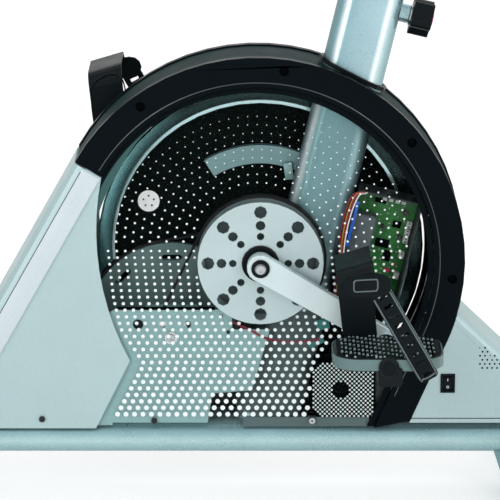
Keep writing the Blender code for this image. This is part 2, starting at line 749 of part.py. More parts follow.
def build_switch(root):
    """Rocker in its bezel, on the near side of the rear cover."""
    opening = rectangle(SWITCH_WIDTH - SWITCH_FRAME, SWITCH_HEIGHT - SWITCH_FRAME)
    frame = [rectangle(SWITCH_WIDTH - 2 * GAP, SWITCH_HEIGHT - 2 * GAP), opening]
    near, far = -SIDE_FACE - 0.0008, -0.0330
    bezel = side_plate("switch_bezel", frame, near, far, BLACK, root, SWITCH_X, SWITCH_Z)
    lip = [rectangle(SWITCH_WIDTH + 0.0030, SWITCH_HEIGHT + 0.0030), opening]
    near, far = -SIDE_FACE - GAP - 0.0012, -SIDE_FACE - GAP
    join(bezel, side_plate("switch_lip", lip, near, far, BLACK, root, SWITCH_X, SWITCH_Z))
    hub = pivot("rocker_axis", (SWITCH_X, -0.0410, SWITCH_Z), root)
    reach = SWITCH_HEIGHT / 2 - 0.0026
    outline = [(-0.0068, reach), (-0.0060, 0), (-0.0068, -reach)]
    outline += [(0.0020, -reach + 0.001), (0.0020, reach - 0.001)]
    plate("rocker", [outline], SWITCH_WIDTH - 0.0036, BLACK, (0, 0, 0), ALONG_X, hub)


def build_mains_inlet(root):
    """Three-pin inlet in the far side of the rear cover."""
    body = [rounded(rectangle(INLET_WIDTH - 2 * GAP, INLET_HEIGHT - 2 * GAP), 0.003, 3)]
    flange = [rounded(rectangle(INLET_WIDTH + 0.008, INLET_HEIGHT + 0.006), 0.004, 3)]
    near, far = SIDE_FACE + GAP, SIDE_FACE + 0.0023
    inlet = side_plate("mains_inlet", flange, near, far, BLACK, root, INLET_X, INLET_Z)
    join(inlet, side_plate("inlet_body", body, 0.026, SIDE_FACE + 0.001, BLACK, root, INLET_X, INLET_Z))
    well = [rounded(rectangle(INLET_WIDTH - 0.004, INLET_HEIGHT - 0.006), 0.003, 3)]
    cut(inlet, side_plate("inlet_well", well, 0.030, SIDE_FACE + 0.010, BLACK, root, INLET_X, INLET_Z))


def build_crank(root):
    """Crank set: axle, arms with their pedal pins, guard disc and first pulley."""
    hub = pivot("crank_axis", (0, 0, 0), root)
    bore = AXLE_RADIUS + GAP
    axle = [(0, 0.0815), (0.0065, 0.0815), (0.0065, 0.0798), (0.0105, 0.0792), (0.0105, 0.0778),
            (AXLE_RADIUS, 0.0778), (AXLE_RADIUS, 0.0625), (0.0140, 0.0625), (0.0140, 0.0450),
            (AXLE_RADIUS, 0.0440), (AXLE_RADIUS, -0.0460), (0.0170, -0.0470), (0.0220, -0.0490),
            (0.0220, -0.0550), (AXLE_RADIUS, -0.0550), (AXLE_RADIUS, -0.0778), (0.0105, -0.0778),
            (0.0105, -0.0792), (0.0065, -0.0798), (0.0065, -0.0815), (0, -0.0815)]
    turned("crank_axle", axle, 16, STEEL, (0, 0, 0), ALONG_Y, hub)
    build_guard_disc(hub)
    outer = CRANK_PULLEY_RADIUS
    groove = outer - 0.0012
    pulley = [(bore, -0.0235), (0.0180, -0.0235), (0.0180, -0.0285), (0.0660, -0.0285),
              (0.0660, -0.0245), (outer, -0.0245), (outer, -0.0280), (groove, -0.0302),
              (outer, -0.0325), (outer, -0.0360), (0.0660, -0.0360), (0.0660, -0.0320),
              (bore, -0.0320)]
    turned("crank_pulley", pulley, 36, PULLEY, (0, 0, 0), ALONG_Y, hub, closed=True)
    for word, way, turn_on in (("left", -1, 0), ("right", 1, 180)):
        build_crank_arm(word, way, CRANK_ANGLE + turn_on, hub)


def build_guard_disc(hub):
    """Flat disc outside the window, with eight spokes of three holes that grow outwards."""
    holes = [circle(0.0223, 20)]
    for spoke in range(8):
        for reach, radius in ((0.0326, 0.0047), (0.0459, 0.0060), (0.0619, 0.0078)):
            holes.append(circle(radius, 8, polar(reach, spoke * 45), spoke * 45))
    side_plate("guard_disc", [circle(GUARD_RADIUS, 44)] + holes, -0.0535, -0.0510, GUARD, hub)


def build_crank_arm(word, way, angle, hub):
    """Tapered arm with a boss round the axle and the pedal pin in its eye."""
    eye = polar(CRANK_LENGTH, angle)
    outline = hull((0, 0), 0.0160, eye, 0.0130, 8)
    planes = sorted((way * 0.0635, way * 0.0775))
    arm = side_plate(f"{word}_crank_arm", [outline], *planes, ALUMINIUM, hub)
    soften(arm, 0.0022, 1, 50)
    inner_end = 0.0556 if way < 0 else 0.0628
    planes = sorted((way * inner_end, way * 0.0660))
    join(arm, side_plate(f"{word}_arm_boss", [circle(0.0150, 20, (0, 0), 9)], *planes, ALUMINIUM, hub))
    turn = SIDEWAYS if way < 0 else ALONG_Y
    pin = [(0, 0.1900), (0.0040, 0.1900), (0.0055, 0.1880), (0.0055, 0.0850), (0.0080, 0.0850),
           (0.0080, 0.0700), (0, 0.0700)]
    join(arm, turned(f"{word}_pedal_pin", pin, 12, STEEL, (eye[0], 0, eye[1]), turn, hub))
    bore = [circle(AXLE_RADIUS + GAP, 16, (0, 0), 5)]
    planes = sorted((way * 0.0500, way * 0.0850))
    cut(arm, side_plate(f"{word}_arm_bore", bore, *planes, ALUMINIUM, hub))
    build_pedal(word, way, eye, hub)


def build_pedal(word, way, eye, hub):
    """Platform pedal with raised teeth and a hanging weight, and its toe strap."""
    axis = pivot(f"{word}_pedal_axis", (eye[0], way * PEDAL_OUT, eye[1]), hub)
    frame = rounded(rectangle(PEDAL_LENGTH, PEDAL_WIDTH), 0.030, 4)
    windows = [rounded(rectangle(0.036, 0.066, (x, 0)), 0.008, 1) for x in (-0.035, 0.035)]
    middle = (0, 0, PEDAL_TOP - PEDAL_THICKNESS / 2)
    body = plate(f"{word}_pedal", [frame] + windows, PEDAL_THICKNESS, GREY, middle, LEVEL, axis)
    soften(body, 0.002, 1, 50)
    turn = SIDEWAYS if way < 0 else ALONG_Y
    barrel = [(0, 0.0540), (0.0095, 0.0540), (0.0120, 0.0520), (0.0120, -0.0485), (0, -0.0485)]
    join(body, turned(f"{word}_barrel", barrel, 14, GREY, (0, 0, 0), turn, axis), "MANIFOLD")
    outline = rounded(rectangle(0.028, PEDAL_WEIGHT_DROP, (0.002, -PEDAL_WEIGHT_DROP / 2)), 0.004, 2)
    planes = sorted((way * 0.0300, way * 0.0500))
    join(body, side_plate(f"{word}_weight", [outline], *planes, GREY, axis), "MANIFOLD")
    row_x = PEDAL_LENGTH / 2 - 0.0065
    for x in (-row_x, row_x):
        teeth = [(-0.026, 0.006)]
        for k in range(7):
            teeth += [(-0.026 + k * 0.0075, 0.0095), (-0.0225 + k * 0.0075, 0.0130)]
        teeth += [(0.0265, 0.0095), (0.0265, 0.006)]
        row = plate(f"{word}_teeth", [teeth[::-1]], 0.004, GREY, (x, 0, 0), ALONG_X, axis)
        join(body, row)
    hole = [(0, 0.0475), (0.0060, 0.0475), (0.0060, -0.0600), (0, -0.0600)]
    cut(body, turned(f"{word}_pedal_bore", hole, 12, GREY, (0, 0, 0), turn, axis))
    build_strap(word, way, axis)


def build_strap(word, way, axis):
    """Moulded strap: a leg inside the pedal, an arch over the toe and a slotted tail outside."""
    half, thick = STRAP_HALF, STRAP_THICKNESS
    arch = strap_side(half + thick, STRAP_TOP, STRAP_BEND)
    arch += strap_side(half, STRAP_TOP - thick, STRAP_BEND - thick)[::-1]
    if way < 0:
        arch = [(-across, height) for across, height in arch][::-1]
    band = flat_mesh([arch], STRAP_WIDTH)
    for vertex in band.vertices:
        across, height, along = vertex.co
        rise = STRAP_CREST * along * max(height, 0) / STRAP_TOP
        vertex.co = (across, height + rise, along - STRAP_LEAN * height)
    strap = put(f"{word}_toe_strap", band, RUBBER, (STRAP_X, 0, 0), ALONG_X, axis)
    planes = sorted((way * (half + 0.001), way * (half + 0.0045)))
    head = hull((-0.0420, 0.0965), 0.0120, (-0.0130, 0.0985), 0.0135, 6)
    join(strap, side_plate(f"{word}_strap_head", [head], *planes, RUBBER, axis))
    start, end = Vector((-0.0160, 0.0980)), Vector((0.0470, -0.0130))
    middle = (start + end) / 2
    length = (end - start).length
    heading = math.atan2(end.y - start.y, end.x - start.x)
    outline = rounded(rectangle(length, TAIL_WIDTH), 0.005, 3)
    slots = [rectangle(0.0042, 0.0107, (-0.048 + k * TAIL_SLOT_PITCH, 0)) for k in range(9)]
    place = (middle.x, (planes[0] + planes[1]) / 2, middle.y)
    turn = (math.radians(90), -heading, 0)
    thickness = planes[1] - planes[0]
    join(strap, plate(f"{word}_strap_tail", [outline] + slots, thickness, RUBBER, place, turn, axis))


def strap_side(half, top, radius):
    """Return one line of the strap's arch, from its inner end over the top to its outer end."""
    left = arc(radius, 180, 90, 5, (-half + radius, top - radius))
    right = arc(radius, 90, 0, 5, (half - radius, top - radius))
    return [(-half, -0.008)] + left + right + [(half, STRAP_OUTER_END)]


def build_layshaft(root):
    """Intermediate shaft with its small pulley, and the large slotted pulley of the second stage."""
    hub = pivot("layshaft_axis", (LAYSHAFT_X, 0, LAYSHAFT_Z), root)
    small, flange = LAY_SMALL_RADIUS, LAY_SMALL_RADIUS + 0.0025
    groove = small - 0.0012
    shaft = [(0, 0.0305), (LAYSHAFT_RADIUS, 0.0305), (LAYSHAFT_RADIUS, -0.0238), (flange, -0.0238),
             (flange, -0.0246), (small, -0.0252), (small, -0.0270), (groove, -0.0285), (small, -0.0300),
             (groove, -0.0315), (small, -0.0330), (small, -0.0352), (flange, -0.0356), (flange, -0.0361),
             (LAYSHAFT_RADIUS, -0.0361), (LAYSHAFT_RADIUS, -0.0394), (0, -0.0394)]
    turned("layshaft", shaft, 16, STEEL, (0, 0, 0), ALONG_Y, hub)
    slots = []
    for k in range(8):
        turn = Matrix.Rotation(math.radians(45 * k), 2)
        corners = rounded(rectangle(0.0065, 0.026, (0.083, 0)), 0.003, 1)
        slots.append([tuple(turn @ Vector(corner)) for corner in corners])
    bore = circle(LAYSHAFT_RADIUS + GAP, 16)
    outline = [circle(LAY_LARGE_RADIUS, 44), bore] + slots
    side_plate("large_pulley", outline, 0.0215, 0.0288, PULLEY, hub)


def build_flywheel(root):
    """Black flywheel that runs on the crank axle, its drive pulley and its polished rim."""
    hub = pivot("flywheel_axis", (0, 0, 0), root)
    bore = AXLE_RADIUS + GAP
    inner = FLYWHEEL_RADIUS - FLYWHEEL_RIM_WIDTH
    pulley, flange = FLY_PULLEY_RADIUS, FLY_PULLEY_RADIUS + 0.003
    disc = [(bore, 0.0380), (inner, 0.0380), (inner, 0.0325), (flange, 0.0325), (flange, 0.0302),
            (pulley, 0.0296), (pulley, 0.0220), (flange, 0.0214), (flange, 0.0206), (bore, 0.0206)]
    turned("flywheel_disc", disc, 44, DISC, (0, 0, 0), ALONG_Y, hub, closed=True)
    seat = inner + GAP
    rim = [(seat, 0.0392), (FLYWHEEL_RADIUS, 0.0392), (FLYWHEEL_RADIUS, 0.0316),
           (FLYWHEEL_RADIUS - 0.002, 0.0296), (seat, 0.0296)]
    turned("flywheel_rim", rim, 44, STEEL, (0, 0, 0), ALONG_Y, hub, closed=True)


def build_belts(root):
    """The two ribbed belts as standing loops, a gap clear of their pulleys."""
    lay = (LAYSHAFT_X, LAYSHAFT_Z)
    stages = (("first_belt", CRANK_PULLEY_RADIUS, LAY_SMALL_RADIUS, -0.0350, -0.0255),
              ("second_belt", FLY_PULLEY_RADIUS, LAY_LARGE_RADIUS, 0.0222, 0.0284))
    for name, at_crank, at_lay, near, far in stages:
        first, second = (at_crank + GAP) * BELT_SLACK, (at_lay + GAP) * BELT_SLACK
        inside = hull((0, 0), first, lay, second, 18)
        outside = hull((0, 0), first + BELT_THICKNESS, lay, second + BELT_THICKNESS, 18)
        side_plate(name, [outside, inside], near, far, RUBBER, root)


def build_drive_bracket(root):
    """Folded sheet-metal bracket that carries the layshaft between two cheeks."""
    bottom = RAIL_TOP + GAP
    front = [(-0.1810, bottom), (-0.0630, bottom), (-0.0570, -0.1638), (-0.0100, -0.1600),
             (0.0112, -0.0848), (-0.0335, -0.0848), (-0.0335, -0.0605), (-0.1810, -0.0605)]
    holes = [circle(LAYSHAFT_RADIUS + GAP, 20, (LAYSHAFT_X, LAYSHAFT_Z))]
    for x, radius in ((-0.1450, 0.0065), (-0.1160, 0.0045), (-0.0865, 0.0045)):
        holes.append(circle(radius, 10, (x, -0.0785)))
    outline = front[:-1] + rounded(front, 0.010, 4)[-5:]
    bracket = side_plate("drive_bracket", [outline] + holes, -0.0385, -0.0365, SHEET, root)
    floor = [rectangle(0.118, 0.0405, (-0.122, -0.01825))]
    join(bracket, plate("bracket_floor", floor, 0.002, SHEET, (0, 0, bottom + 0.001), LEVEL, root))
    back = [(-0.1500, bottom), (-0.0630, bottom), (-0.0750, -0.0650), (-0.1370, -0.0650)]
    join(bracket, side_plate("bracket_back", [back, holes[0]], 0.0000, 0.0020, SHEET, root))


def build_brake(root):
    """Magnet arc that stands close to the flywheel's face."""
    sector = arc(MAGNET_OUTER, 122, 47, 14) + arc(MAGNET_INNER, 47, 122, 14)
    side_plate("brake_magnet", [sector], 0.0203, 0.0300, ALUMINIUM, root)


def build_electronics(root):
    """Control tray behind the seat tube, with its board and power block."""
    lean = math.radians(SEAT_LEAN)
    turn = (0, lean, 0)
    tray = box_mesh(TRAY_WIDTH, 0.0400, TRAY_HEIGHT)
    well = box_mesh(TRAY_WIDTH - 2 * TRAY_WALL, 0.0400, TRAY_HEIGHT - 2 * TRAY_WALL)
    tray = put("control_tray", tray, BLACK, (TRAY_X, -0.0110, TRAY_Z), turn, root)
    cut(tray, put("tray_well", well, BLACK, (TRAY_X, -0.0110 - TRAY_WALL, TRAY_Z), turn, root))
    board = box_mesh(TRAY_WIDTH - 0.0050, 0.0016, TRAY_HEIGHT - 0.0050)
    put("circuit_board", board, BOARD, (TRAY_X, 0.0055, TRAY_Z), turn, root)
    left = Vector((-math.cos(lean), 0, math.sin(lean))) * 0.0215
    block_place = Vector((TRAY_X, -0.0087, TRAY_Z + 0.0040)) + left
    block = put("power_block", box_mesh(0.0280, 0.0260, 0.0560), GREY, block_place, turn, root)
    soften(block, 0.002)


def build_fan(root):
    """Cooling fan: square frame with a lattice grille, rear struts and a bladed rotor."""
    x, z, size = FAN_X, FAN_Z, FAN_SIZE
    frame = [rectangle(size, size), circle(0.0325, 20)]
    fan = side_plate("fan_housing", frame, -0.0320, -0.0130, BLACK, root, x, z)
    mouth = [rectangle(size - 0.0004, size - 0.0004), rectangle(0.0640, 0.0640)]
    join(fan, side_plate("fan_mouth", mouth, -0.0374, -0.0318, BLACK, root, x, z))
    pitch = FAN_PITCH / math.sqrt(2)
    holes = []
    for i in range(-7, 8):
        for k in range(-7, 8):
            place = (i * pitch, k * pitch)
            inside = max(abs(place[0]), abs(place[1])) < 0.0290
            if (i + k) % 2 == 0 and inside and math.hypot(*place) > 0.0120:
                holes.append(circle(FAN_HOLE, 4, place))
    grille = [rectangle(size - 0.0008, size - 0.0008)] + holes
    join(fan, side_plate("fan_grille", grille, -0.0385, -0.0370, BLACK, root, x, z))
    windows = []
    for k in range(4):
        start = 90 * k + 8
        outer = arc(0.0315, start, start + 74, 6)
        windows.append(outer + arc(0.0150, start + 74, start, 4))
    struts = [rectangle(size - 0.0008, size - 0.0008)] + windows
    join(fan, side_plate("fan_struts", struts, -0.0140, -0.0115, BLACK, root, x, z))
    hub = pivot("fan_axis", (x, 0, z), root)
    blades = []
    for k in range(7):
        base = 360 * k / 7
        blades += [polar(0.0130, base), polar(0.0210, base + 10), polar(0.0305, base + 24),
                   polar(0.0305, base + 30), polar(0.0210, base + 17), polar(0.0130, base + 9)]
    side_plate("fan_rotor", [blades], -0.0345, -0.0150, GREY, hub)


def build_seat_post(root):
    """Post that slides in the seat tube, with a round head for the saddle clamp."""
    hub = pivot("seat_post_axis", (0, 0, 0), root)
    lean = (0, math.radians(SEAT_LEAN), 0)
    section = tube_section(POST_WIDTH, POST_DEPTH, TUBE_WALL)
    middle = seat_axis((POST_BOTTOM + POST_TOP) / 2)
    post = plate("seat_post", section, POST_TOP - POST_BOTTOM, STEEL, middle, lean, hub)
    plug_place = seat_axis(POST_TOP - 0.003)
    plug = [flat_oval(POST_WIDTH + 0.002, POST_DEPTH + 0.002)]
    join(post, plate("post_plug", plug, 0.014, STEEL, plug_place, lean, hub))
    head = seat_axis(POST_TOP + 0.010)
    profile = [(0, 0.0170), (0.0130, 0.0170), (0.0140, 0.0160), (0.0140, -0.0160),
               (0.0130, -0.0170), (0, -0.0170)]
    join(post, turned("post_head", profile, 24, STEEL, head, ALONG_Y, hub), "MANIFOLD")
    build_saddle(Vector(head), hub)


def build_saddle(head, post_hub):
    """Tilting clamp on the post's head, and the saddle that slides on it by its rails."""
    tilt = pivot("saddle_tilt_axis", head, post_hub)
    cheek = hull((0, 0), 0.0150, (0, 0.0255), 0.0070, 8)
    block = box_mesh(0.0440, 0.0560, 0.0140)
    clamp = put("saddle_clamp", block, ALUMINIUM, (0, 0, RAIL_RISE), LEVEL, tilt)
    for way in (-1, 1):
        planes = sorted((way * 0.0174, way * 0.0225))
        join(clamp, side_plate("clamp_cheek", [cheek], *planes, ALUMINIUM, tilt))
        groove = [circle(0.0038, 12)]
        place = (0, way * 0.0220, RAIL_RISE)
        cut(clamp, plate("rail_groove", groove, 0.080, ALUMINIUM, place, ALONG_X, tilt))
    slide = pivot("saddle_slide_axis", (0, 0, RAIL_RISE), tilt)
    near = [(0.105, -0.040, 0.0320), (0.070, -0.022, 0), (-0.060, -0.022, 0), (-0.125, -0.008, 0.0320)]
    far = [(x, -y, z) for x, y, z in near[::-1]]
    rails = wire_mesh(smooth_path(near + far, 0.007, 3), 0.0035, 2)
    put("saddle_rails", rails, STEEL, (0, 0, 0), LEVEL, slide)
    pan = plate("saddle_pan", [saddle_outline(0.0)], 0.0060, BLACK, (0, 0, 0.0390), LEVEL, slide)
    soften(pan, 0.0015)
    pad = plate("saddle_pad", [saddle_outline(0.004)], 0.0440, PAD, (0, 0, 0.0645), LEVEL, slide)
    soften(pad, 0.0160, 3, 60)


def saddle_outline(grow):
    """Return the saddle's plan: a narrow nose that widens to the seat, in one smooth line."""
    points = []
    for i in range(36):
        phase = math.radians(10 * i)
        x = 0.005 + (SADDLE_REACH + grow) * math.cos(phase)
        widening = min(max((x + 0.075) / 0.135, 0), 1)
        half = SADDLE_NOSE + SADDLE_FLARE * widening ** 2 * (3 - 2 * widening) + grow
        points.append((x, half * math.copysign(abs(math.sin(phase)) ** 0.7, math.sin(phase))))
    return points


def column_axis(height):
    """Return the place on the front column's centre line at a height."""
    return (COLUMN_X + (height - RAIL_TOP) * math.tan(math.radians(COLUMN_LEAN)), 0, height)


def build_front_column(root):
    """Leaning front column with the bored head for the handlebar and the console's bracket."""
    lean = (0, math.radians(COLUMN_LEAN), 0)
    low, high = Vector(column_axis(RAIL_TOP - 0.03)), Vector(column_axis(COLUMN_TOP_Z))
    section = tube_section(TUBE_WIDTH, TUBE_DEPTH, TUBE_WALL)
    column = plate("front_column", section, (high - low).length, SILVER, (low + high) / 2, lean, root)
    foot_place = (COLUMN_X, 0, RAIL_TOP + GAP - 0.03)
    cut(column, put("column_foot", box_mesh(0.20, 0.10, 0.06), SILVER, foot_place, LEVEL, root))
    head_x, _, head_z = column_axis(COLUMN_TOP_Z + HEAD_RISE)
    block = [rounded([(-0.036, -0.034), (0.036, -0.034), (0.036, 0.018), (-0.036, 0.026)], 0.012, 4)]
    join(column, side_plate("head_block", block, -0.0215, 0.0215, ALUMINIUM, root, head_x, head_z))
    stalk_foot = (-0.022, 0)
    stalk = [hull(stalk_foot, 0.0120, (CONSOLE_X, CONSOLE_Z), 0.0100, 8)]
    join(column, side_plate("console_stalk", stalk, -0.0100, 0.0100, ALUMINIUM, root, head_x, head_z))
    bore = [circle(BAR_RADIUS + 2 * GAP, 16)]
    cut(column, side_plate("bar_bore", bore, -0.0400, 0.0400, ALUMINIUM, root, head_x, head_z))
    return (head_x, 0, head_z)


def build_handlebar(head, root):
    """Swept bar that tilts in the column's head, its two grips and the clamp lever."""
    hub = pivot("handlebar_axis", head, root)
    right = [(0, 0.060, 0), (0.010, 0.130, 0.010), (0.045, 0.225, 0.040), (0.075, 0.232, 0.058),
             (0.200, 0.232, 0.108)]
    left = [(x, -y, z) for x, y, z in right[::-1]]
    bar = wire_mesh(smooth_path(left + right, 0.030, 4), BAR_RADIUS, 2)
    put("handlebar", bar, BLACK, (0, 0, 0), LEVEL, hub)
    start, end = Vector(right[3]), Vector(right[4])
    way = (end - start).normalized()
    middle = start + way * 0.078
    tilt = -math.atan2(way.z, way.x)
    for word, side in (("left", -1), ("right", 1)):
        section = [circle(0.0170, 20), circle(BAR_RADIUS + 0.0006, 20)]
        place = (middle.x, side * middle.y, middle.z)
        grip = plate(f"{word}_grip", section, 0.100, RUBBER, place, (0, tilt + math.radians(90), 0), hub)
        soften(grip, 0.0012, 1, 60)
    lever_place = (head[0] - 0.020, 0, head[2] - 0.045)
    lever_hub = pivot("lever_axis", lever_place, root)
    handle = hull((0, 0), 0.0085, (-0.045, -0.045), 0.0060, 8)
    lever = side_plate("handlebar_lever", [handle], -0.0320, -0.0240, BLACK, lever_hub)
    soften(lever, 0.0015)


def build_console(head, root):
    """Console that tilts on its stalk, and the dial on its face."""
    hub = pivot("console_axis", (head[0] + CONSOLE_X, 0, head[2] + CONSOLE_Z), root)
    tilt = math.radians(CONSOLE_TILT)
    block = box_mesh(CONSOLE_THICKNESS, CONSOLE_WIDTH, CONSOLE_HEIGHT)
    body = put("console", block, BLACK, (0, 0, CONSOLE_RISE), (0, tilt, 0), hub)
    soften(body, 0.008, 2)
    cut(body, put("stalk_gap", box_mesh(0.100, 0.0212, 0.060), BLACK, (0, 0, -0.0060), LEVEL, hub))
    normal = Vector((math.cos(tilt), 0, -math.sin(tilt)))
    down = Vector((-math.sin(tilt), 0, -math.cos(tilt)))
    dial_place = Vector((0, DIAL_OUT, CONSOLE_RISE)) + down * DIAL_DOWN
    dial_place += normal * (CONSOLE_THICKNESS / 2 + GAP)
    dial_hub = pivot("dial_axis", dial_place, hub, (0, tilt + math.radians(90), 0))
    profile = [(0, 0.0160), (0.0130, 0.0160), (0.0150, 0.0140), (0.0170, 0.0030), (0.0170, 0), (0, 0)]
    turned("console_dial", profile, 24, GREY, (0, 0, 0), LEVEL, dial_hub)


def build_ergometer():
    """Build every piece of the machine."""
    clear_scene()
    new_collection("ergometer")
    new_collection("cutters")
    root = pivot("ergometer_root", (CRANK_X, 0, CRANK_HEIGHT), None)
    build_base_rail(root)
    build_feet(root)
    build_seat_tube(root)
    build_seat_sleeve(root)
    build_clamp_knob(root)
    build_trim_rings(root)
    build_casing_band(root)
    build_front_cover(root)
    build_rear_cover(root)
    build_clear_covers(root)
    build_switch(root)
    build_mains_inlet(root)
    build_drive_bracket(root)
    build_brake(root)
    build_belts(root)
    build_crank(root)
    build_layshaft(root)
    build_flywheel(root)
    build_electronics(root)
    build_fan(root)
    build_seat_post(root)
    head = build_front_column(root)
    build_handlebar(head, root)
    build_console(head, root)


build_ergometer()
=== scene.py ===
"""Looks of the bicycle ergometer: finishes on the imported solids, and the small pieces that they leave out.

Every place is in the row frame, in metres. Sizes named `..._x` and `..._z` in the housing are counted
from the crank's axis, because the housing is drawn about it.
"""

import json
import logging
from dataclasses import dataclass
from enum import Enum
from math import atan2, cos, degrees, dist, exp, hypot, pi, radians, sin, sqrt, tau
from typing import Callable, Iterable, Sequence

import bmesh
import bpy
from bmesh.types import BMesh, BMVert
from bpy.types import Material, Mesh, Node, NodeOutputs, NodeSocket, NodeTree, Object
from mathutils import Matrix, Vector
from mathutils.bvhtree import BVHTree


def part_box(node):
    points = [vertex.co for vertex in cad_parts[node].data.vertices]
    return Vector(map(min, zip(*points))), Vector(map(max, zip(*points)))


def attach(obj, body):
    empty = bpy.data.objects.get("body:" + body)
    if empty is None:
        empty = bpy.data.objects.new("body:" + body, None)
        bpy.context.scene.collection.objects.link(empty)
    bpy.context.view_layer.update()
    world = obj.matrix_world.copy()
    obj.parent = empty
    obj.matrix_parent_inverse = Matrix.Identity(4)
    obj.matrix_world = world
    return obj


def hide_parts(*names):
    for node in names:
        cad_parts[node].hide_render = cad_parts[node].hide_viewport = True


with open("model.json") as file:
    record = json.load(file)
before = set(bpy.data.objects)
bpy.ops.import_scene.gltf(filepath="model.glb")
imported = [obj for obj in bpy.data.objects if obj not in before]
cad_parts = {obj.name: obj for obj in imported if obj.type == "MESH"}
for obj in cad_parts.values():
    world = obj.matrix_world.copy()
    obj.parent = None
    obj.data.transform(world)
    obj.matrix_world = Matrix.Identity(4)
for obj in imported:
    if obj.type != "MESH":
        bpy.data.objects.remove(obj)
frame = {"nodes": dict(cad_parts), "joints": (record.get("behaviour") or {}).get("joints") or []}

LOG = logging.getLogger("ergometer")
Point2 = tuple[float, float]
Colour = tuple[float, float, float]


def joint_place(name: str) -> Vector:
    """Return the point on a joint's axis.

    Args:
        name: the joint's name in the record.
    Returns:
        The point in the row frame.
    """
    found = next(joint for joint in frame["joints"] if joint["name"] == name)
    return Vector(found["pos_m"])


CRANK = joint_place("crank_spin")


def beside_crank(x: float, y: float, z: float) -> Vector:
    """Return the place at a distance from the crank's axis."""
    return Vector((CRANK.x + x, y, CRANK.z + z))


class Side(Enum):
    """A side of the machine, as the rider sees it."""

    LEFT = -1
    RIGHT = 1

    @property
    def way(self) -> Vector:
        """Return the way out of the machine on this side."""
        return Vector((0, self.value, 0))

    @property
    def word(self) -> str:
        """Return the side's name in the solids' names."""
        return self.name.lower()


class Axis(Enum):
    """An axis of the row frame."""

    X = 0
    Y = 1
    Z = 2


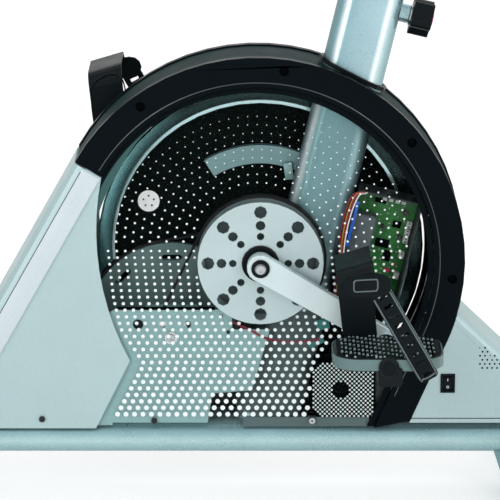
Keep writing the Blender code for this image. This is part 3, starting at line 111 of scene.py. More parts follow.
class Forms:
    """Mesh makers that leave each piece where it belongs."""

    @staticmethod
    def closed(work: BMesh, name: str, smooth: float = 35.0) -> Mesh:
        """Weld a mesh, turn its faces outwards and shade it.

        Args:
            work: the mesh being edited, freed afterwards.
            name: the finished mesh's name.
            smooth: the angle in degrees above which an edge stays sharp.
        Returns:
            The finished mesh.
        """
        bmesh.ops.remove_doubles(work, verts=work.verts, dist=1e-6)
        bmesh.ops.recalc_face_normals(work, faces=work.faces)
        mesh = bpy.data.meshes.new(name)
        work.to_mesh(mesh)
        work.free()
        mesh.shade_smooth()
        mesh.set_sharp_from_angle(angle=radians(smooth))
        return mesh

    @staticmethod
    def lathe(name: str, profile: Sequence[Point2], steps: int, frame_of: Matrix = Matrix()) -> Mesh:
        """Revolve a profile about the local Z axis.

        Args:
            name: the mesh's name.
            profile: points of (radius, height); a radius of 0 closes an end.
            steps: the number of steps round the axis.
            frame_of: the matrix to its place.
        Returns:
            The closed mesh.
        """
        work = bmesh.new()
        places = [work.verts.new((radius, 0, height)) for radius, height in profile]
        edges = [work.edges.new(pair) for pair in zip(places, places[1:])]
        if profile[0][0] > 0 and profile[-1][0] > 0:
            edges.append(work.edges.new((places[-1], places[0])))
        bmesh.ops.spin(work, geom=places + edges, cent=(0, 0, 0), axis=(0, 0, 1), angle=tau, steps=steps)
        bmesh.ops.transform(work, matrix=frame_of, verts=work.verts)
        return Forms.closed(work, name)

    @staticmethod
    def prism(name: str, outline: Sequence[Point2], low: float, high: float,
              frame_of: Matrix = Matrix(), bevel: float = 0.0) -> Mesh:
        """Give a flat outline a thickness along the local Z axis.

        Args:
            name: the mesh's name.
            outline: the corners in the local XY plane.
            low: the lower face's height.
            high: the upper face's height.
            frame_of: the matrix to its place.
            bevel: the width of the chamfer round the upper face.
        Returns:
            The closed mesh.
        """
        work = bmesh.new()
        face = work.faces.new([work.verts.new((x, y, low)) for x, y in outline])
        raised = bmesh.ops.extrude_face_region(work, geom=[face])
        moved = [part for part in raised["geom"] if isinstance(part, BMVert)]
        bmesh.ops.translate(work, verts=moved, vec=(0, 0, high - low))
        if bevel:
            rim = [edge for edge in work.edges if all(vert.co.z > high - 1e-7 for vert in edge.verts)]
            bmesh.ops.bevel(work, geom=rim, offset=bevel, segments=2, profile=0.6, affect="EDGES")
        bmesh.ops.transform(work, matrix=frame_of, verts=work.verts)
        return Forms.closed(work, name)

    @staticmethod
    def sleeve(name: str, outer: Sequence[Point2], inner: Sequence[Point2], low: float, high: float,
               frame_of: Matrix) -> Mesh:
        """Make an open-ended sleeve between two outlines of as many corners.

        Args:
            name: the mesh's name.
            outer: the outside's corners in the local XY plane.
            inner: the bore's corners.
            low: the lower end's height.
            high: the upper end's height.
            frame_of: the matrix to its place.
        Returns:
            The closed mesh.
        """
        work = bmesh.new()
        rings = [[work.verts.new(frame_of @ Vector((x, y, z))) for x, y in line]
                 for line, z in ((inner, low), (outer, low), (outer, high), (inner, high))]
        for first, second in zip(rings, rings[1:] + rings[:1]):
            for i in range(len(outer)):
                j = (i + 1) % len(outer)
                work.faces.new((first[i], first[j], second[j], second[i]))
        return Forms.closed(work, name)

    @staticmethod
    def oval_skin(name: str, width: float, depth: float, low: float, high: float, frame_of: Matrix) -> Mesh:
        """Make the smooth paint skin round a flat-oval tube, 0.15 mm thick outside it.

        Args:
            name: the mesh's name.
            width: the tube's width.
            depth: the tube's depth.
            low: the lower end's height.
            high: the upper end's height.
            frame_of: the matrix to its place.
        Returns:
            The closed mesh.
        """
        outer = Forms.rounded(width + 0.0003, depth + 0.0003, depth / 2 + 0.00015, 14)
        inner = Forms.rounded(width - 0.0006, depth - 0.0006, depth / 2 - 0.0003, 14)
        return Forms.sleeve(name, outer, inner, low, high, frame_of)

    @staticmethod
    def block(name: str, size: Sequence[float], frame_of: Matrix = Matrix(), bevel: float = 0.0004) -> Mesh:
        """Make a block with broken edges about the local origin.

        Args:
            name: the mesh's name.
            size: the lengths along the local axes.
            frame_of: the matrix to its place.
            bevel: the width of the broken edges.
        Returns:
            The closed mesh.
        """
        work = bmesh.new()
        bmesh.ops.create_cube(work, size=1)
        bmesh.ops.scale(work, vec=size, verts=work.verts)
        bmesh.ops.bevel(work, geom=work.edges, offset=bevel, segments=2, profile=0.6, affect="EDGES")
        bmesh.ops.transform(work, matrix=frame_of, verts=work.verts)
        return Forms.closed(work, name)

    @staticmethod
    def joined(name: str, meshes: Iterable[Mesh]) -> Mesh:
        """Gather several closed meshes in one, and drop the originals.

        Args:
            name: the mesh's name.
            meshes: the closed meshes.
        Returns:
            The joined mesh.
        """
        work = bmesh.new()
        for mesh in meshes:
            work.from_mesh(mesh)
            bpy.data.meshes.remove(mesh)
        return Forms.closed(work, name)

    @staticmethod
    def facing(place: Vector, way: Vector, turn: float = 0.0) -> Matrix:
        """Return the matrix whose local Z axis points a given way from a place."""
        return Matrix.Translation(place) @ way.to_track_quat("Z", "Y").to_matrix().to_4x4() @ \
            Matrix.Rotation(radians(turn), 4, "Z")

    @staticmethod
    def ring(radius: float, steps: int, centre: Point2 = (0, 0), start: float = 0) -> list[Point2]:
        """Return the points of a circle."""
        return [(centre[0] + radius * cos(radians(start) + tau * i / steps),
                 centre[1] + radius * sin(radians(start) + tau * i / steps)) for i in range(steps)]

    @staticmethod
    def inside(outline: Sequence[Point2], x: float, y: float) -> bool:
        """Tell whether a point lies in an outline, by the sides that a ray from it crosses.

        Args:
            outline: the corners.
            x: the point's first coordinate.
            y: the point's second coordinate.
        Returns:
            True when it lies inside.
        """
        crossed = False
        for (ax, ay), (bx, by) in zip(outline, [*outline[1:], outline[0]]):
            if (ay > y) != (by > y) and x < ax + (y - ay) * (bx - ax) / (by - ay):
                crossed = not crossed
        return crossed

    @staticmethod
    def rounded(width: float, height: float, radius: float, steps: int = 4) -> list[Point2]:
        """Return the outline of a rectangle with round corners.

        Args:
            width: the length along X.
            height: the length along Y.
            radius: the corners' radius.
            steps: the steps round a corner.
        Returns:
            The outline's points.
        """
        points: list[Point2] = []
        for quarter, (sx, sy) in enumerate(((1, 1), (-1, 1), (-1, -1), (1, -1))):
            centre = (sx * (width / 2 - radius), sy * (height / 2 - radius))
            for i in range(steps + 1):
                angle = radians(90 * quarter + 90 * i / steps)
                points.append((centre[0] + radius * cos(angle), centre[1] + radius * sin(angle)))
        return points


def placed(name: str, data: object) -> Object:
    """Make an object of a mesh, a lamp or a camera, and put it in the scene.

    Args:
        name: the object's name.
        data: the mesh, lamp or camera.
    Returns:
        The new object.
    """
    made = bpy.data.objects.new(name, data)
    bpy.context.scene.collection.objects.link(made)
    return made


def evaluated(piece: Object) -> Mesh:
    """Return the plain mesh that a piece's modifiers give."""
    bpy.context.view_layer.update()
    return bpy.data.meshes.new_from_object(piece.evaluated_get(bpy.context.evaluated_depsgraph_get()))


def add(mesh: Mesh, finish: "Finish", body: str = "base") -> Object:
    """Add a finished mesh to the machine.

    Args:
        mesh: the mesh, already in its place.
        finish: the finish that it wears.
        body: the body that it moves with.
    Returns:
        The new piece.
    """
    piece = placed(mesh.name, mesh)
    mesh.materials.clear()
    mesh.materials.append(finish.material())
    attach(piece, body)
    LOG.info("%s rides on %s in %s", piece.name, body, finish.name)
    return piece


def dress(finish: "Finish", *nodes: str) -> None:
    """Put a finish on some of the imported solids.

    Args:
        finish: the finish.
        nodes: the solids' names.
    """
    for name in nodes:
        for place in frame["nodes"][name].material_slots:
            place.material = finish.material()
        LOG.info("%s is finished in %s", name, finish.name)


class Nodes:
    """A node tree with short ways to add and join its nodes."""

    def __init__(self, tree: NodeTree) -> None:
        """Keep the tree that the nodes go into."""
        self.tree = tree

    def add(self, kind: str, **settings: object) -> Node:
        """Add a node and set its properties.

        Args:
            kind: the node's type.
            settings: the node's properties.
        Returns:
            The new node.
        """
        made = self.tree.nodes.new(kind)
        for key, value in settings.items():
            setattr(made, key, value)
        return made

    def feed(self, target: NodeSocket, value: object) -> None:
        """Give an input a link or a plain value.

        Args:
            target: the input.
            value: the link or the plain value.
        """
        if isinstance(value, NodeSocket):
            self.tree.links.new(value, target)
        else:
            target.default_value = value

    def run(self, kind: str, inputs: dict, out: int | str = 0, **settings: object) -> NodeSocket:
        """Add a node, feed its inputs and return one of its outputs.

        Args:
            kind: the node's type.
            inputs: the values or links, by input name or number.
            out: the output's name or number.
            settings: the node's properties.
        Returns:
            The output socket.
        """
        made = self.add(kind, **settings)
        for key, value in inputs.items():
            self.feed(made.inputs[key], value)
        return made.outputs[out]

    def math(self, operation: str, *values: object) -> NodeSocket:
        """Add a sum on single values."""
        return self.run("ShaderNodeMath", dict(enumerate(values)), operation=operation)

    def vector(self, operation: str, *values: object) -> NodeSocket:
        """Add a sum on vectors."""
        out = "Value" if operation in ("LENGTH", "DOT_PRODUCT") else "Vector"
        return self.run("ShaderNodeVectorMath", dict(enumerate(values)), out, operation=operation)

    def ramp(self, value: object, low: object, high: object, to_low: object = 0.0,
             to_high: object = 1.0) -> NodeSocket:
        """Map a value from one range to another, held inside it."""
        return self.run("ShaderNodeMapRange", {0: value, 1: low, 2: high, 3: to_low, 4: to_high})

    def shades(self, place: object, marks: Sequence[tuple[float, Colour]]) -> NodeSocket:
        """Look a value up in a row of colours.

        Args:
            place: the value, from 0 to 1.
            marks: the places and their colours, in order.
        Returns:
            The colour's socket.
        """
        made = self.add("ShaderNodeValToRGB")
        self.feed(made.inputs[0], place)
        row = made.color_ramp.elements
        for spot, _ in marks[1:-1]:
            row.new(spot)
        for mark, (_, colour) in zip(row, marks):
            mark.color = (*colour, 1)
        return made.outputs["Color"]

    def mixed(self, share: object, first: object, second: object) -> NodeSocket:
        """Mix two colours.

        Args:
            share: the second colour's share.
            first: the first colour.
            second: the second colour.
        Returns:
            The mixed colour's socket.
        """
        made = self.add("ShaderNodeMix", data_type="RGBA")
        self.feed(made.inputs["Factor"], share)
        self.feed(made.inputs[6], first)
        self.feed(made.inputs[7], second)
        return made.outputs[2]

    def where(self) -> NodeSocket:
        """Return the point's place on the piece."""
        return self.add("ShaderNodeTexCoord").outputs["Object"]


def group(kind: str, fill: Callable[[Nodes, NodeOutputs], dict[str, object]], names: Iterable[str]) -> NodeTree:
    """Return the node group that a method fills, built when it is first asked for.

    Args:
        kind: the tree's type.
        fill: the method, which takes the nodes and the group's inputs and returns its outputs by name.
        names: the inputs' names.
    Returns:
        The group, which has the method's name.
    """
    tree = bpy.data.node_groups.get(fill.__name__)
    if tree:
        return tree
    tree = bpy.data.node_groups.new(fill.__name__, kind)
    sorts = {"Colour": "Color", "Centre": "Vector", "Stretch": "Vector", "Geometry": "Geometry", "Shape": "Object",
             "Material": "Material", "Sides": "Int"}
    for key in names:
        tree.interface.new_socket(key, in_out="INPUT", socket_type=f"NodeSocket{sorts.get(key, 'Float')}")
    nodes = Nodes(tree)
    made = fill(nodes, nodes.add("NodeGroupInput").outputs)
    for key in made:
        tree.interface.new_socket(key, in_out="OUTPUT", socket_type=f"NodeSocket{sorts.get(key, 'Float')}")
    result = nodes.add("NodeGroupOutput").inputs
    for key, value in made.items():
        nodes.feed(result[key], value)
    return tree


class Effects:
    """Fillings of the shader groups that several finishes share."""

    @staticmethod
    def mottle(nodes: Nodes, given: NodeOutputs) -> dict[str, object]:
        """Slow changes of colour and gloss, as handling and moulding leave them.

        Args:
            nodes: the group's nodes.
            given: the group's inputs.
        Returns:
            The group's outputs by name.
        """
        slow = nodes.run("ShaderNodeTexNoise", {"Vector": nodes.where(), "Scale": given["Scale"],
                                                "Detail": 4.0, "Roughness": 0.6})
        swing = nodes.ramp(slow, 0.3, 0.7, -1.0, 1.0)
        factor = nodes.math("MULTIPLY_ADD", swing, given["Spread"], 1.0)
        return {"Colour": nodes.vector("MULTIPLY", given["Colour"], factor),
                "Roughness": nodes.math("MULTIPLY_ADD", swing, given["Rough Spread"], given["Roughness"])}

    @staticmethod
    def grain(nodes: Nodes, given: NodeOutputs) -> dict[str, object]:
        """Fine bumps of a moulded or cast skin.

        Args:
            nodes: the group's nodes.
            given: the group's inputs.
        Returns:
            The group's outputs by name.
        """
        where = nodes.where()
        fine = nodes.run("ShaderNodeTexNoise", {"Vector": where, "Scale": given["Scale"], "Detail": 3.0})
        wide = nodes.math("MULTIPLY", given["Scale"], 0.35)
        pits = nodes.run("ShaderNodeTexVoronoi", {"Vector": where, "Scale": wide})
        return {"Height": nodes.math("MULTIPLY_ADD", pits, given["Pits"], fine)}

    @staticmethod
    def flakes(nodes: Nodes, given: NodeOutputs) -> dict[str, object]:
        """Bright and dark specks of a metallic paint.

        Args:
            nodes: the group's nodes.
            given: the group's inputs.
        Returns:
            The group's outputs by name.
        """
        cells = nodes.run("ShaderNodeTexVoronoi", {"Vector": nodes.where(), "Scale": given["Scale"]}, "Color")
        sparkle = nodes.ramp(nodes.run("ShaderNodeSeparateColor", {"Color": cells}), 0.0, 1.0, -1.0, 1.0)
        factor = nodes.math("MULTIPLY_ADD", sparkle, given["Amount"], 1.0)
        return {"Colour": nodes.vector("MULTIPLY", given["Colour"], factor)}

    @staticmethod
    def turning_lines(nodes: Nodes, given: NodeOutputs) -> dict[str, object]:
        """Rings that a lathe leaves about an axis along Y.

        Args:
            nodes: the group's nodes.
            given: the group's inputs.
        Returns:
            The group's outputs by name.
        """
        reach = nodes.vector("SUBTRACT", nodes.where(), given["Centre"])
        radius = nodes.vector("LENGTH", nodes.vector("MULTIPLY", reach, (1.0, 0.0, 1.0)))
        lines = nodes.run("ShaderNodeTexNoise", {"W": radius, "Scale": given["Scale"], "Detail": 2.0},
                          noise_dimensions="1D")
        return {"Height": lines, "Mask": nodes.ramp(lines, 0.35, 0.65)}

    @staticmethod
    def drawn_lines(nodes: Nodes, given: NodeOutputs) -> dict[str, object]:
        """Long fine lines that drawing or brushing leaves along an axis.

        Args:
            nodes: the group's nodes.
            given: the group's inputs.
        Returns:
            The group's outputs by name.
        """
        pulled = nodes.vector("MULTIPLY", nodes.where(), given["Stretch"])
        lines = nodes.run("ShaderNodeTexNoise", {"Vector": pulled, "Scale": given["Scale"], "Detail": 3.0})
        return {"Height": lines, "Mask": nodes.ramp(lines, 0.35, 0.65)}

    @staticmethod
    def dust(nodes: Nodes, given: NodeOutputs) -> dict[str, object]:
        """Pale dust that settles on faces that look up.

        Args:
            nodes: the group's nodes.
            given: the group's inputs.
        Returns:
            The group's outputs by name.
        """
        up = nodes.run("ShaderNodeSeparateXYZ", {0: nodes.add("ShaderNodeNewGeometry").outputs["Normal"]}, 2)
        facing = nodes.ramp(up, 0.3, 1.0)
        cloud = nodes.run("ShaderNodeTexNoise", {"Vector": nodes.where(), "Scale": 45.0, "Detail": 5.0})
        patch = nodes.ramp(cloud, 0.4, 0.75)
        share = nodes.math("MULTIPLY", nodes.math("MULTIPLY", facing, patch), given["Amount"])
        return {"Colour": nodes.mixed(share, given["Colour"], (0.62, 0.6, 0.56, 1)),
                "Roughness": nodes.math("MULTIPLY_ADD", share, 0.4, given["Roughness"])}


@dataclass(frozen=True)
class Finish:
    """A plain painted or moulded skin, and the base of the other finishes."""

    name: str
    slot: str
    colour: Colour
    roughness: float = 0.5
    metallic: float = 0.0
    coat: float = 0.0
    specular: float = 0.5
    mottle: float = 0.05
    mottle_scale: float = 18.0
    rough_spread: float = 0.06
    grain_depth: float = 0.00004
    grain_scale: float = 1500.0
    pits: float = 0.3
    dust: float = 0.0

    def tone(self, share: float = 1.0) -> tuple[float, ...]:
        """Return the colour made darker or lighter, with an alpha of 1."""
        return (*(min(1.0, part * share) for part in self.colour), 1)

    def material(self) -> Material:
        """Return the finish's material, built when it is first asked for.

        Returns:
            The material.
        """
        known = bpy.data.materials.get(self.name)
        if known:
            return known
        made = bpy.data.materials.new(self.name)
        made.use_nodes = True
        made.diffuse_color = self.tone()
        shader = made.node_tree.nodes["Principled BSDF"]
        shader.inputs["Metallic"].default_value = self.metallic
        shader.inputs["Specular IOR Level"].default_value = self.specular
        shader.inputs["Coat Weight"].default_value = self.coat
        shader.inputs["Coat Roughness"].default_value = 0.12
        self.paint(Nodes(made.node_tree), shader)
        return made

    def use(self, nodes: Nodes, effect: Callable, inputs: dict) -> NodeOutputs:
        """Place an effect's shader group, feed it and return its outputs.

        Args:
            nodes: the material's nodes.
            effect: the filling of the effect's group.
            inputs: the group's inputs by name.
        Returns:
            The group's outputs.
        """
        made = nodes.add("ShaderNodeGroup", node_tree=group("ShaderNodeTree", effect, inputs))
        for key, value in inputs.items():
            nodes.feed(made.inputs[key], value)
        return made.outputs

    def base(self, nodes: Nodes, shader: Node, colour: object) -> None:
        """Wire a colour and the gloss, with their slow changes and their dust.

        Args:
            nodes: the material's nodes.
            shader: the principled shader.
            colour: the colour before its changes.
        """
        slow = self.use(nodes, Effects.mottle, {"Colour": colour, "Spread": self.mottle, "Scale": self.mottle_scale,
                                                "Roughness": self.roughness, "Rough Spread": self.rough_spread})
        dusty = self.use(nodes, Effects.dust, {"Colour": slow["Colour"], "Amount": self.dust,
                                               "Roughness": slow["Roughness"]})
        nodes.feed(shader.inputs["Base Color"], dusty["Colour"])
        nodes.feed(shader.inputs["Roughness"], dusty["Roughness"])

    def bump(self, nodes: Nodes, shader: Node, height: object, distance: float) -> None:
        """Let a height press the surface in and out."""
        normal = nodes.run("ShaderNodeBump", {"Height": height, "Distance": distance, "Strength": 1.0})
        nodes.feed(shader.inputs["Normal"], normal)

    def fine_grain(self, nodes: Nodes, shader: Node) -> None:
        """Press the skin's fine grain into the surface."""
        grain = self.use(nodes, Effects.grain, {"Scale": self.grain_scale, "Pits": self.pits})
        self.bump(nodes, shader, grain["Height"], self.grain_depth)

    def paint(self, nodes: Nodes, shader: Node) -> None:
        """Wire the finish: mottled colour and gloss over a fine grain."""
        self.base(nodes, shader, self.tone())
        self.fine_grain(nodes, shader)


@dataclass(frozen=True)
class FlakePaint(Finish):
    """Metallic paint with bright and dark specks."""

    amount: float = 0.16
    flake_scale: float = 1300.0

    def paint(self, nodes: Nodes, shader: Node) -> None:
        """Wire specks under the slow changes of colour.

        Args:
            nodes: the material's nodes.
            shader: the principled shader.
        """
        specks = self.use(nodes, Effects.flakes, {"Colour": self.tone(), "Amount": self.amount,
                                                  "Scale": self.flake_scale})
        self.base(nodes, shader, specks["Colour"])
        self.fine_grain(nodes, shader)


@dataclass(frozen=True)
class TurnedMetal(Finish):
    """Metal turned about an axis along Y, with the tool's rings left on it."""

    centre: tuple[float, float, float] = (0.0, 0.0, 0.0)
    ring_scale: float = 900.0
    ring_depth: float = 0.00003
    ring_shade: float = 0.12

    def paint(self, nodes: Nodes, shader: Node) -> None:
        """Wire rings in the colour, the gloss and the height.

        Args:
            nodes: the material's nodes.
            shader: the principled shader.
        """
        rings = self.use(nodes, Effects.turning_lines, {"Centre": self.centre, "Scale": self.ring_scale})
        self.base(nodes, shader, nodes.mixed(rings["Mask"], self.tone(1 - self.ring_shade), self.tone()))
        self.bump(nodes, shader, rings["Height"], self.ring_depth)


@dataclass(frozen=True)
class RimSteel(TurnedMetal):
    """Rim steel with painted light: a painted highlight line round the disc, then painted shade that lightens outwards
    at the front.
    """

    span: Point2 = (0.175, 0.195)
    # Painted shade on the rim's front flank, lighter outwards.
    flank: tuple[tuple[float, Colour], ...] = ((0.0, (0.16, 0.26, 0.27)), (0.09, (0.16, 0.26, 0.27)),
                                               (0.14, (0.01, 0.03, 0.028)), (0.35, (0.026, 0.071, 0.074)),
                                               (0.52, (0.05, 0.13, 0.144)), (0.68, (0.095, 0.235, 0.245)),
                                               (0.85, (0.136, 0.314, 0.309)), (1.0, (0.195, 0.418, 0.392)))
    # A painted highlight line, then painted shade, on the rim's top.
    crown: tuple[tuple[float, Colour], ...] = ((0.0, (0.4, 0.58, 0.6)), (0.16, (0.46, 0.64, 0.66)),
                                               (0.22, (0.006, 0.014, 0.014)), (0.36, (0.01, 0.024, 0.024)),
                                               (0.55, (0.015, 0.035, 0.034)), (0.75, (0.009, 0.02, 0.019)),
                                               (1.0, (0.003, 0.007, 0.007)))

    def paint(self, nodes: Nodes, shader: Node) -> None:
        """Wire the painted highlight and shade by the distance from the axis and by the way towards the front.

        Args:
            nodes: the material's nodes.
            shader: the principled shader.
        """
        apart = nodes.vector("SUBTRACT", nodes.where(), self.centre)
        away = nodes.ramp(nodes.vector("LENGTH", nodes.vector("MULTIPLY", apart, (1, 0, 1))), *self.span)
        front = nodes.ramp(nodes.vector("DOT_PRODUCT", apart, (-1, 0, 0)), 0.09, 0.175)
        shade = nodes.mixed(front, nodes.shades(away, self.crown), nodes.shades(away, self.flank))
        self.base(nodes, shader, shade)


@dataclass(frozen=True)
class BandPaint(Finish):
    """Silver paint with bands of painted highlight and painted shade that run along a round-sided tube."""

    way: tuple[float, float, float] = (0.0, 0.0, 1.0)
    span: Point2 = (0.0, 1.0)
    bands: tuple[tuple[float, Colour], ...] = ((0.0, (0.5, 0.5, 0.5)), (1.0, (0.5, 0.5, 0.5)))

    def paint(self, nodes: Nodes, shader: Node) -> None:
        """Wire the painted highlight and shade bands by the place across the tube, under fine specks.

        Args:
            nodes: the material's nodes.
            shader: the principled shader.
        """
        across = nodes.ramp(nodes.vector("DOT_PRODUCT", nodes.where(), self.way), *self.span)
        specks = self.use(nodes, Effects.flakes, {"Colour": nodes.shades(across, self.bands), "Amount": 0.1,
                                                  "Scale": 1300.0})
        self.base(nodes, shader, specks["Colour"])


@dataclass(frozen=True)
class DrawnMetal(Finish):
    """Metal or plastic with fine lines along one axis."""

    along: Axis = Axis.X
    line_scale: float = 700.0
    line_depth: float = 0.00003
    line_shade: float = 0.1

    def paint(self, nodes: Nodes, shader: Node) -> None:
        """Wire lines in the colour, the gloss and the height.

        Args:
            nodes: the material's nodes.
            shader: the principled shader.
        """
        stretch = [1.0, 1.0, 1.0]
        stretch[self.along.value] = 0.02
        lines = self.use(nodes, Effects.drawn_lines, {"Stretch": stretch, "Scale": self.line_scale})
        self.base(nodes, shader, nodes.mixed(lines["Mask"], self.tone(1 - self.line_shade), self.tone()))
        self.bump(nodes, shader, lines["Height"], self.line_depth)


@dataclass(frozen=True)
class Vinyl(Finish):
    """Grained vinyl over foam: small cells with creases between them."""

    cell_scale: float = 620.0
    cell_depth: float = 0.0003

    def paint(self, nodes: Nodes, shader: Node) -> None:
        """Wire the grain's cells in the height, and painted shade in the creases between them in the colour.

        Args:
            nodes: the material's nodes.
            shader: the principled shader.
        """
        cells = nodes.run("ShaderNodeTexVoronoi", {"Vector": nodes.where(), "Scale": self.cell_scale},
                          feature="DISTANCE_TO_EDGE")
        skin = nodes.ramp(cells, 0.0, 0.12)
        # The darker colour in the creases is painted shade.
        self.base(nodes, shader, nodes.mixed(skin, self.tone(0.55), self.tone()))
        self.bump(nodes, shader, skin, self.cell_depth)


@dataclass(frozen=True)
class RibbedRubber(Finish):
    """Belt rubber with ribs that run along the belt."""

    rib_pitch: float = 0.0016

    def paint(self, nodes: Nodes, shader: Node) -> None:
        """Wire ribs across the belt's width.

        Args:
            nodes: the material's nodes.
            shader: the principled shader.
        """
        across = nodes.run("ShaderNodeSeparateXYZ", {0: nodes.where()}, 1)
        wave = nodes.math("SINE", nodes.math("MULTIPLY", across, tau / self.rib_pitch))
        self.base(nodes, shader, self.tone())
        self.bump(nodes, shader, wave, 0.0002)


@dataclass(frozen=True)
class ClearSheet(Finish):
    """Clear plastic sheet: nearly unseen head on, and glossier at a slant."""

    tint: float = 0.015
    gloss: float = 0.16

    def paint(self, nodes: Nodes, shader: Node) -> None:
        """Wire the share of the sheet that is seen, which grows at a slant.

        Args:
            nodes: the material's nodes.
            shader: the principled shader.
        """
        self.base(nodes, shader, self.tone())
        slant = nodes.run("ShaderNodeFresnel", {"IOR": 1.49})
        nodes.feed(shader.inputs["Alpha"], nodes.math("MULTIPLY_ADD", slant, self.gloss, self.tint))


@dataclass(frozen=True)
class BoardPrint(Finish):
    """Circuit board: solder mask with rows of lighter tracks and tinned pads."""

    track_scale: float = 150.0

    def paint(self, nodes: Nodes, shader: Node) -> None:
        """Wire tracks and pads into the colour and the metal.

        Args:
            nodes: the material's nodes.
            shader: the principled shader.
        """
        where = nodes.where()
        cells = nodes.run("ShaderNodeTexVoronoi", {"Vector": where, "Scale": self.track_scale, "Randomness": 0.35},
                          "Distance", distance="MANHATTAN")
        track = nodes.ramp(cells, 0.42, 0.46)
        pad = nodes.ramp(cells, 0.12, 0.1)
        green = nodes.mixed(track, self.tone(), self.tone(1.9))
        self.base(nodes, shader, nodes.mixed(pad, green, (0.75, 0.74, 0.7, 1)))
        nodes.feed(shader.inputs["Metallic"], pad)
        self.bump(nodes, shader, track, 0.00004)


SILVER = FlakePaint("silver_metallic_paint", "silver_paint", (0.285, 0.425, 0.465), 0.27, 0.65, pits=0.0,
                    grain_depth=0.00001)
PANEL = FlakePaint("silver_cover_paint", "silver_panel", (0.395, 0.53, 0.54), 0.42, 0.2, amount=0.05, mottle=0.02)
BAND_PAINT = FlakePaint("bright_band_paint", "silver_panel", (0.56, 0.64, 0.67), 0.36, 0.2, amount=0.05, mottle=0.02)
TRIM = Finish("black_trim_moulding", "black_plastic", (0.0022, 0.0048, 0.0064), 0.3, specular=0.03,
              grain_depth=0.00002)
# A lighter colour that paints a highlight along the trim ring's inner edge.
TRIM_HIGHLIGHT = Finish("trim_edge_sheen", "black_plastic", (0.022, 0.036, 0.042), 0.25)
BLACK = Finish("black_satin_moulding", "black_plastic", (0.0035, 0.0062, 0.0075), 0.34, specular=0.08, dust=0.01)
INNER_BLACK = Finish("inner_black_plastic", "black_plastic", (0.0012, 0.0025, 0.003), 0.55, specular=0.02)
CASING = Finish("grey_green_casing", "grey_green_plastic", (0.008, 0.024, 0.024), 0.5, specular=0.02)
RUBBER = Finish("black_rubber_skin", "black_rubber", (0.01, 0.011, 0.013), 0.62, grain_scale=900.0,
                grain_depth=0.00008, specular=0.2, dust=0.1)
STRAP = Finish("strap_rubber", "black_rubber", (0.0035, 0.0065, 0.008), 0.38, grain_scale=700.0, grain_depth=0.00006,
               specular=0.08, dust=0.01)
# A lighter colour that paints highlights on the strap's raised edges.
STRAP_HIGHLIGHT = Finish("strap_edge_rubber", "black_rubber", (0.085, 0.12, 0.13), 0.3)
# A lighter colour that paints glints on the strap's teeth.
TOOTH_HIGHLIGHT = Finish("strap_tooth_sheen", "black_rubber", (0.26, 0.35, 0.37), 0.3)
BELT = RibbedRubber("belt_rubber", "black_rubber", (0.012, 0.013, 0.014), 0.6, specular=0.15)
CLEAR = ClearSheet("clear_window_sheet", "clear_acrylic", (0.01, 0.016, 0.016), 0.04, specular=0.12, mottle=0.0)
STEEL = DrawnMetal("drawn_steel", "bright_steel", (0.62, 0.63, 0.65), 0.22, 1.0, along=Axis.Z)
AXLE_STEEL = TurnedMetal("turned_axle_steel", "bright_steel", (0.62, 0.64, 0.66), 0.2, 1.0, centre=tuple(CRANK))
# The rim's colours are painted highlight and painted shade.
RIM_PAINTED_LIGHT = RimSteel("polished_rim_steel", "bright_steel", (0.2, 0.27, 0.29), 0.2, 0.85, centre=tuple(CRANK))
ALLOY = FlakePaint("cast_alloy", "cast_aluminium", (0.58, 0.69, 0.71), 0.4, 0.35, amount=0.04, grain_scale=800.0,
                   grain_depth=0.00004)
SHEET = DrawnMetal("grey_sheet_steel", "grey_sheet_metal", (0.285, 0.475, 0.475), 0.42, 0.25, along=Axis.X,
                   line_depth=0.00001)
# Painted shade of the rim's outer band, laid on the window.
RIM_SHADE_STRIP = Finish("window_edge_shade", "clear_acrylic", (0.036, 0.098, 0.096), 0.4, specular=0.2)
MAGNET = DrawnMetal("brake_shoe_metal", "grey_sheet_metal", (0.18, 0.32, 0.33), 0.42, 0.25, along=Axis.X,
                    line_depth=0.00001)
GUARD = TurnedMetal("satin_guard_disc", "satin_disc", (0.45, 0.56, 0.575), 0.36, 0.25, centre=tuple(CRANK),
                    ring_shade=0.04)
FLY_BLACK = TurnedMetal("black_flywheel_paint", "black_disc", (0.003, 0.0065, 0.0056), 0.45, 0.0, centre=tuple(CRANK),
                        ring_shade=0.4, ring_depth=0.000004, specular=0.01)
PULLEY = TurnedMetal("grey_pulley_plastic", "grey_pulley", (0.13, 0.18, 0.185), 0.45, 0.1, centre=tuple(CRANK),
                     ring_depth=0.00001, specular=0.3)
LAY_PULLEY = TurnedMetal("grey_large_pulley", "grey_pulley", (0.12, 0.205, 0.2), 0.45, 0.1,
                         centre=tuple(joint_place("intermediate_spin")), ring_depth=0.00001, specular=0.3)
BOARD = BoardPrint("green_circuit_board", "green_board", (0.003, 0.085, 0.01), 0.4)
GREY = Finish("dark_grey_moulding", "grey_plastic", (0.04, 0.05, 0.055), 0.4, specular=0.35, dust=0.05)
PEDAL_BLACK = Finish("pedal_moulding", "grey_plastic", (0.005, 0.0085, 0.01), 0.32, specular=0.1, dust=0.01)
# A lighter colour that paints glints on some of the tread's studs.
TREAD_HIGHLIGHT = Finish("tread_stud_sheen", "grey_plastic", (0.27, 0.37, 0.38), 0.3)
BLOCK_GREY = Finish("relay_grey", "grey_plastic", (0.085, 0.11, 0.12), 0.45)
SEAT_VINYL = Vinyl("black_seat_vinyl", "black_cushion", (0.014, 0.015, 0.017), 0.46, dust=0.04, specular=0.3)
LEAN_WAY = (cos(radians(13.4)), 0.0, -sin(radians(13.4)))
TUBE_MIDDLE = (CRANK + Vector((0.056, 0, 0))).dot(Vector(LEAN_WAY))
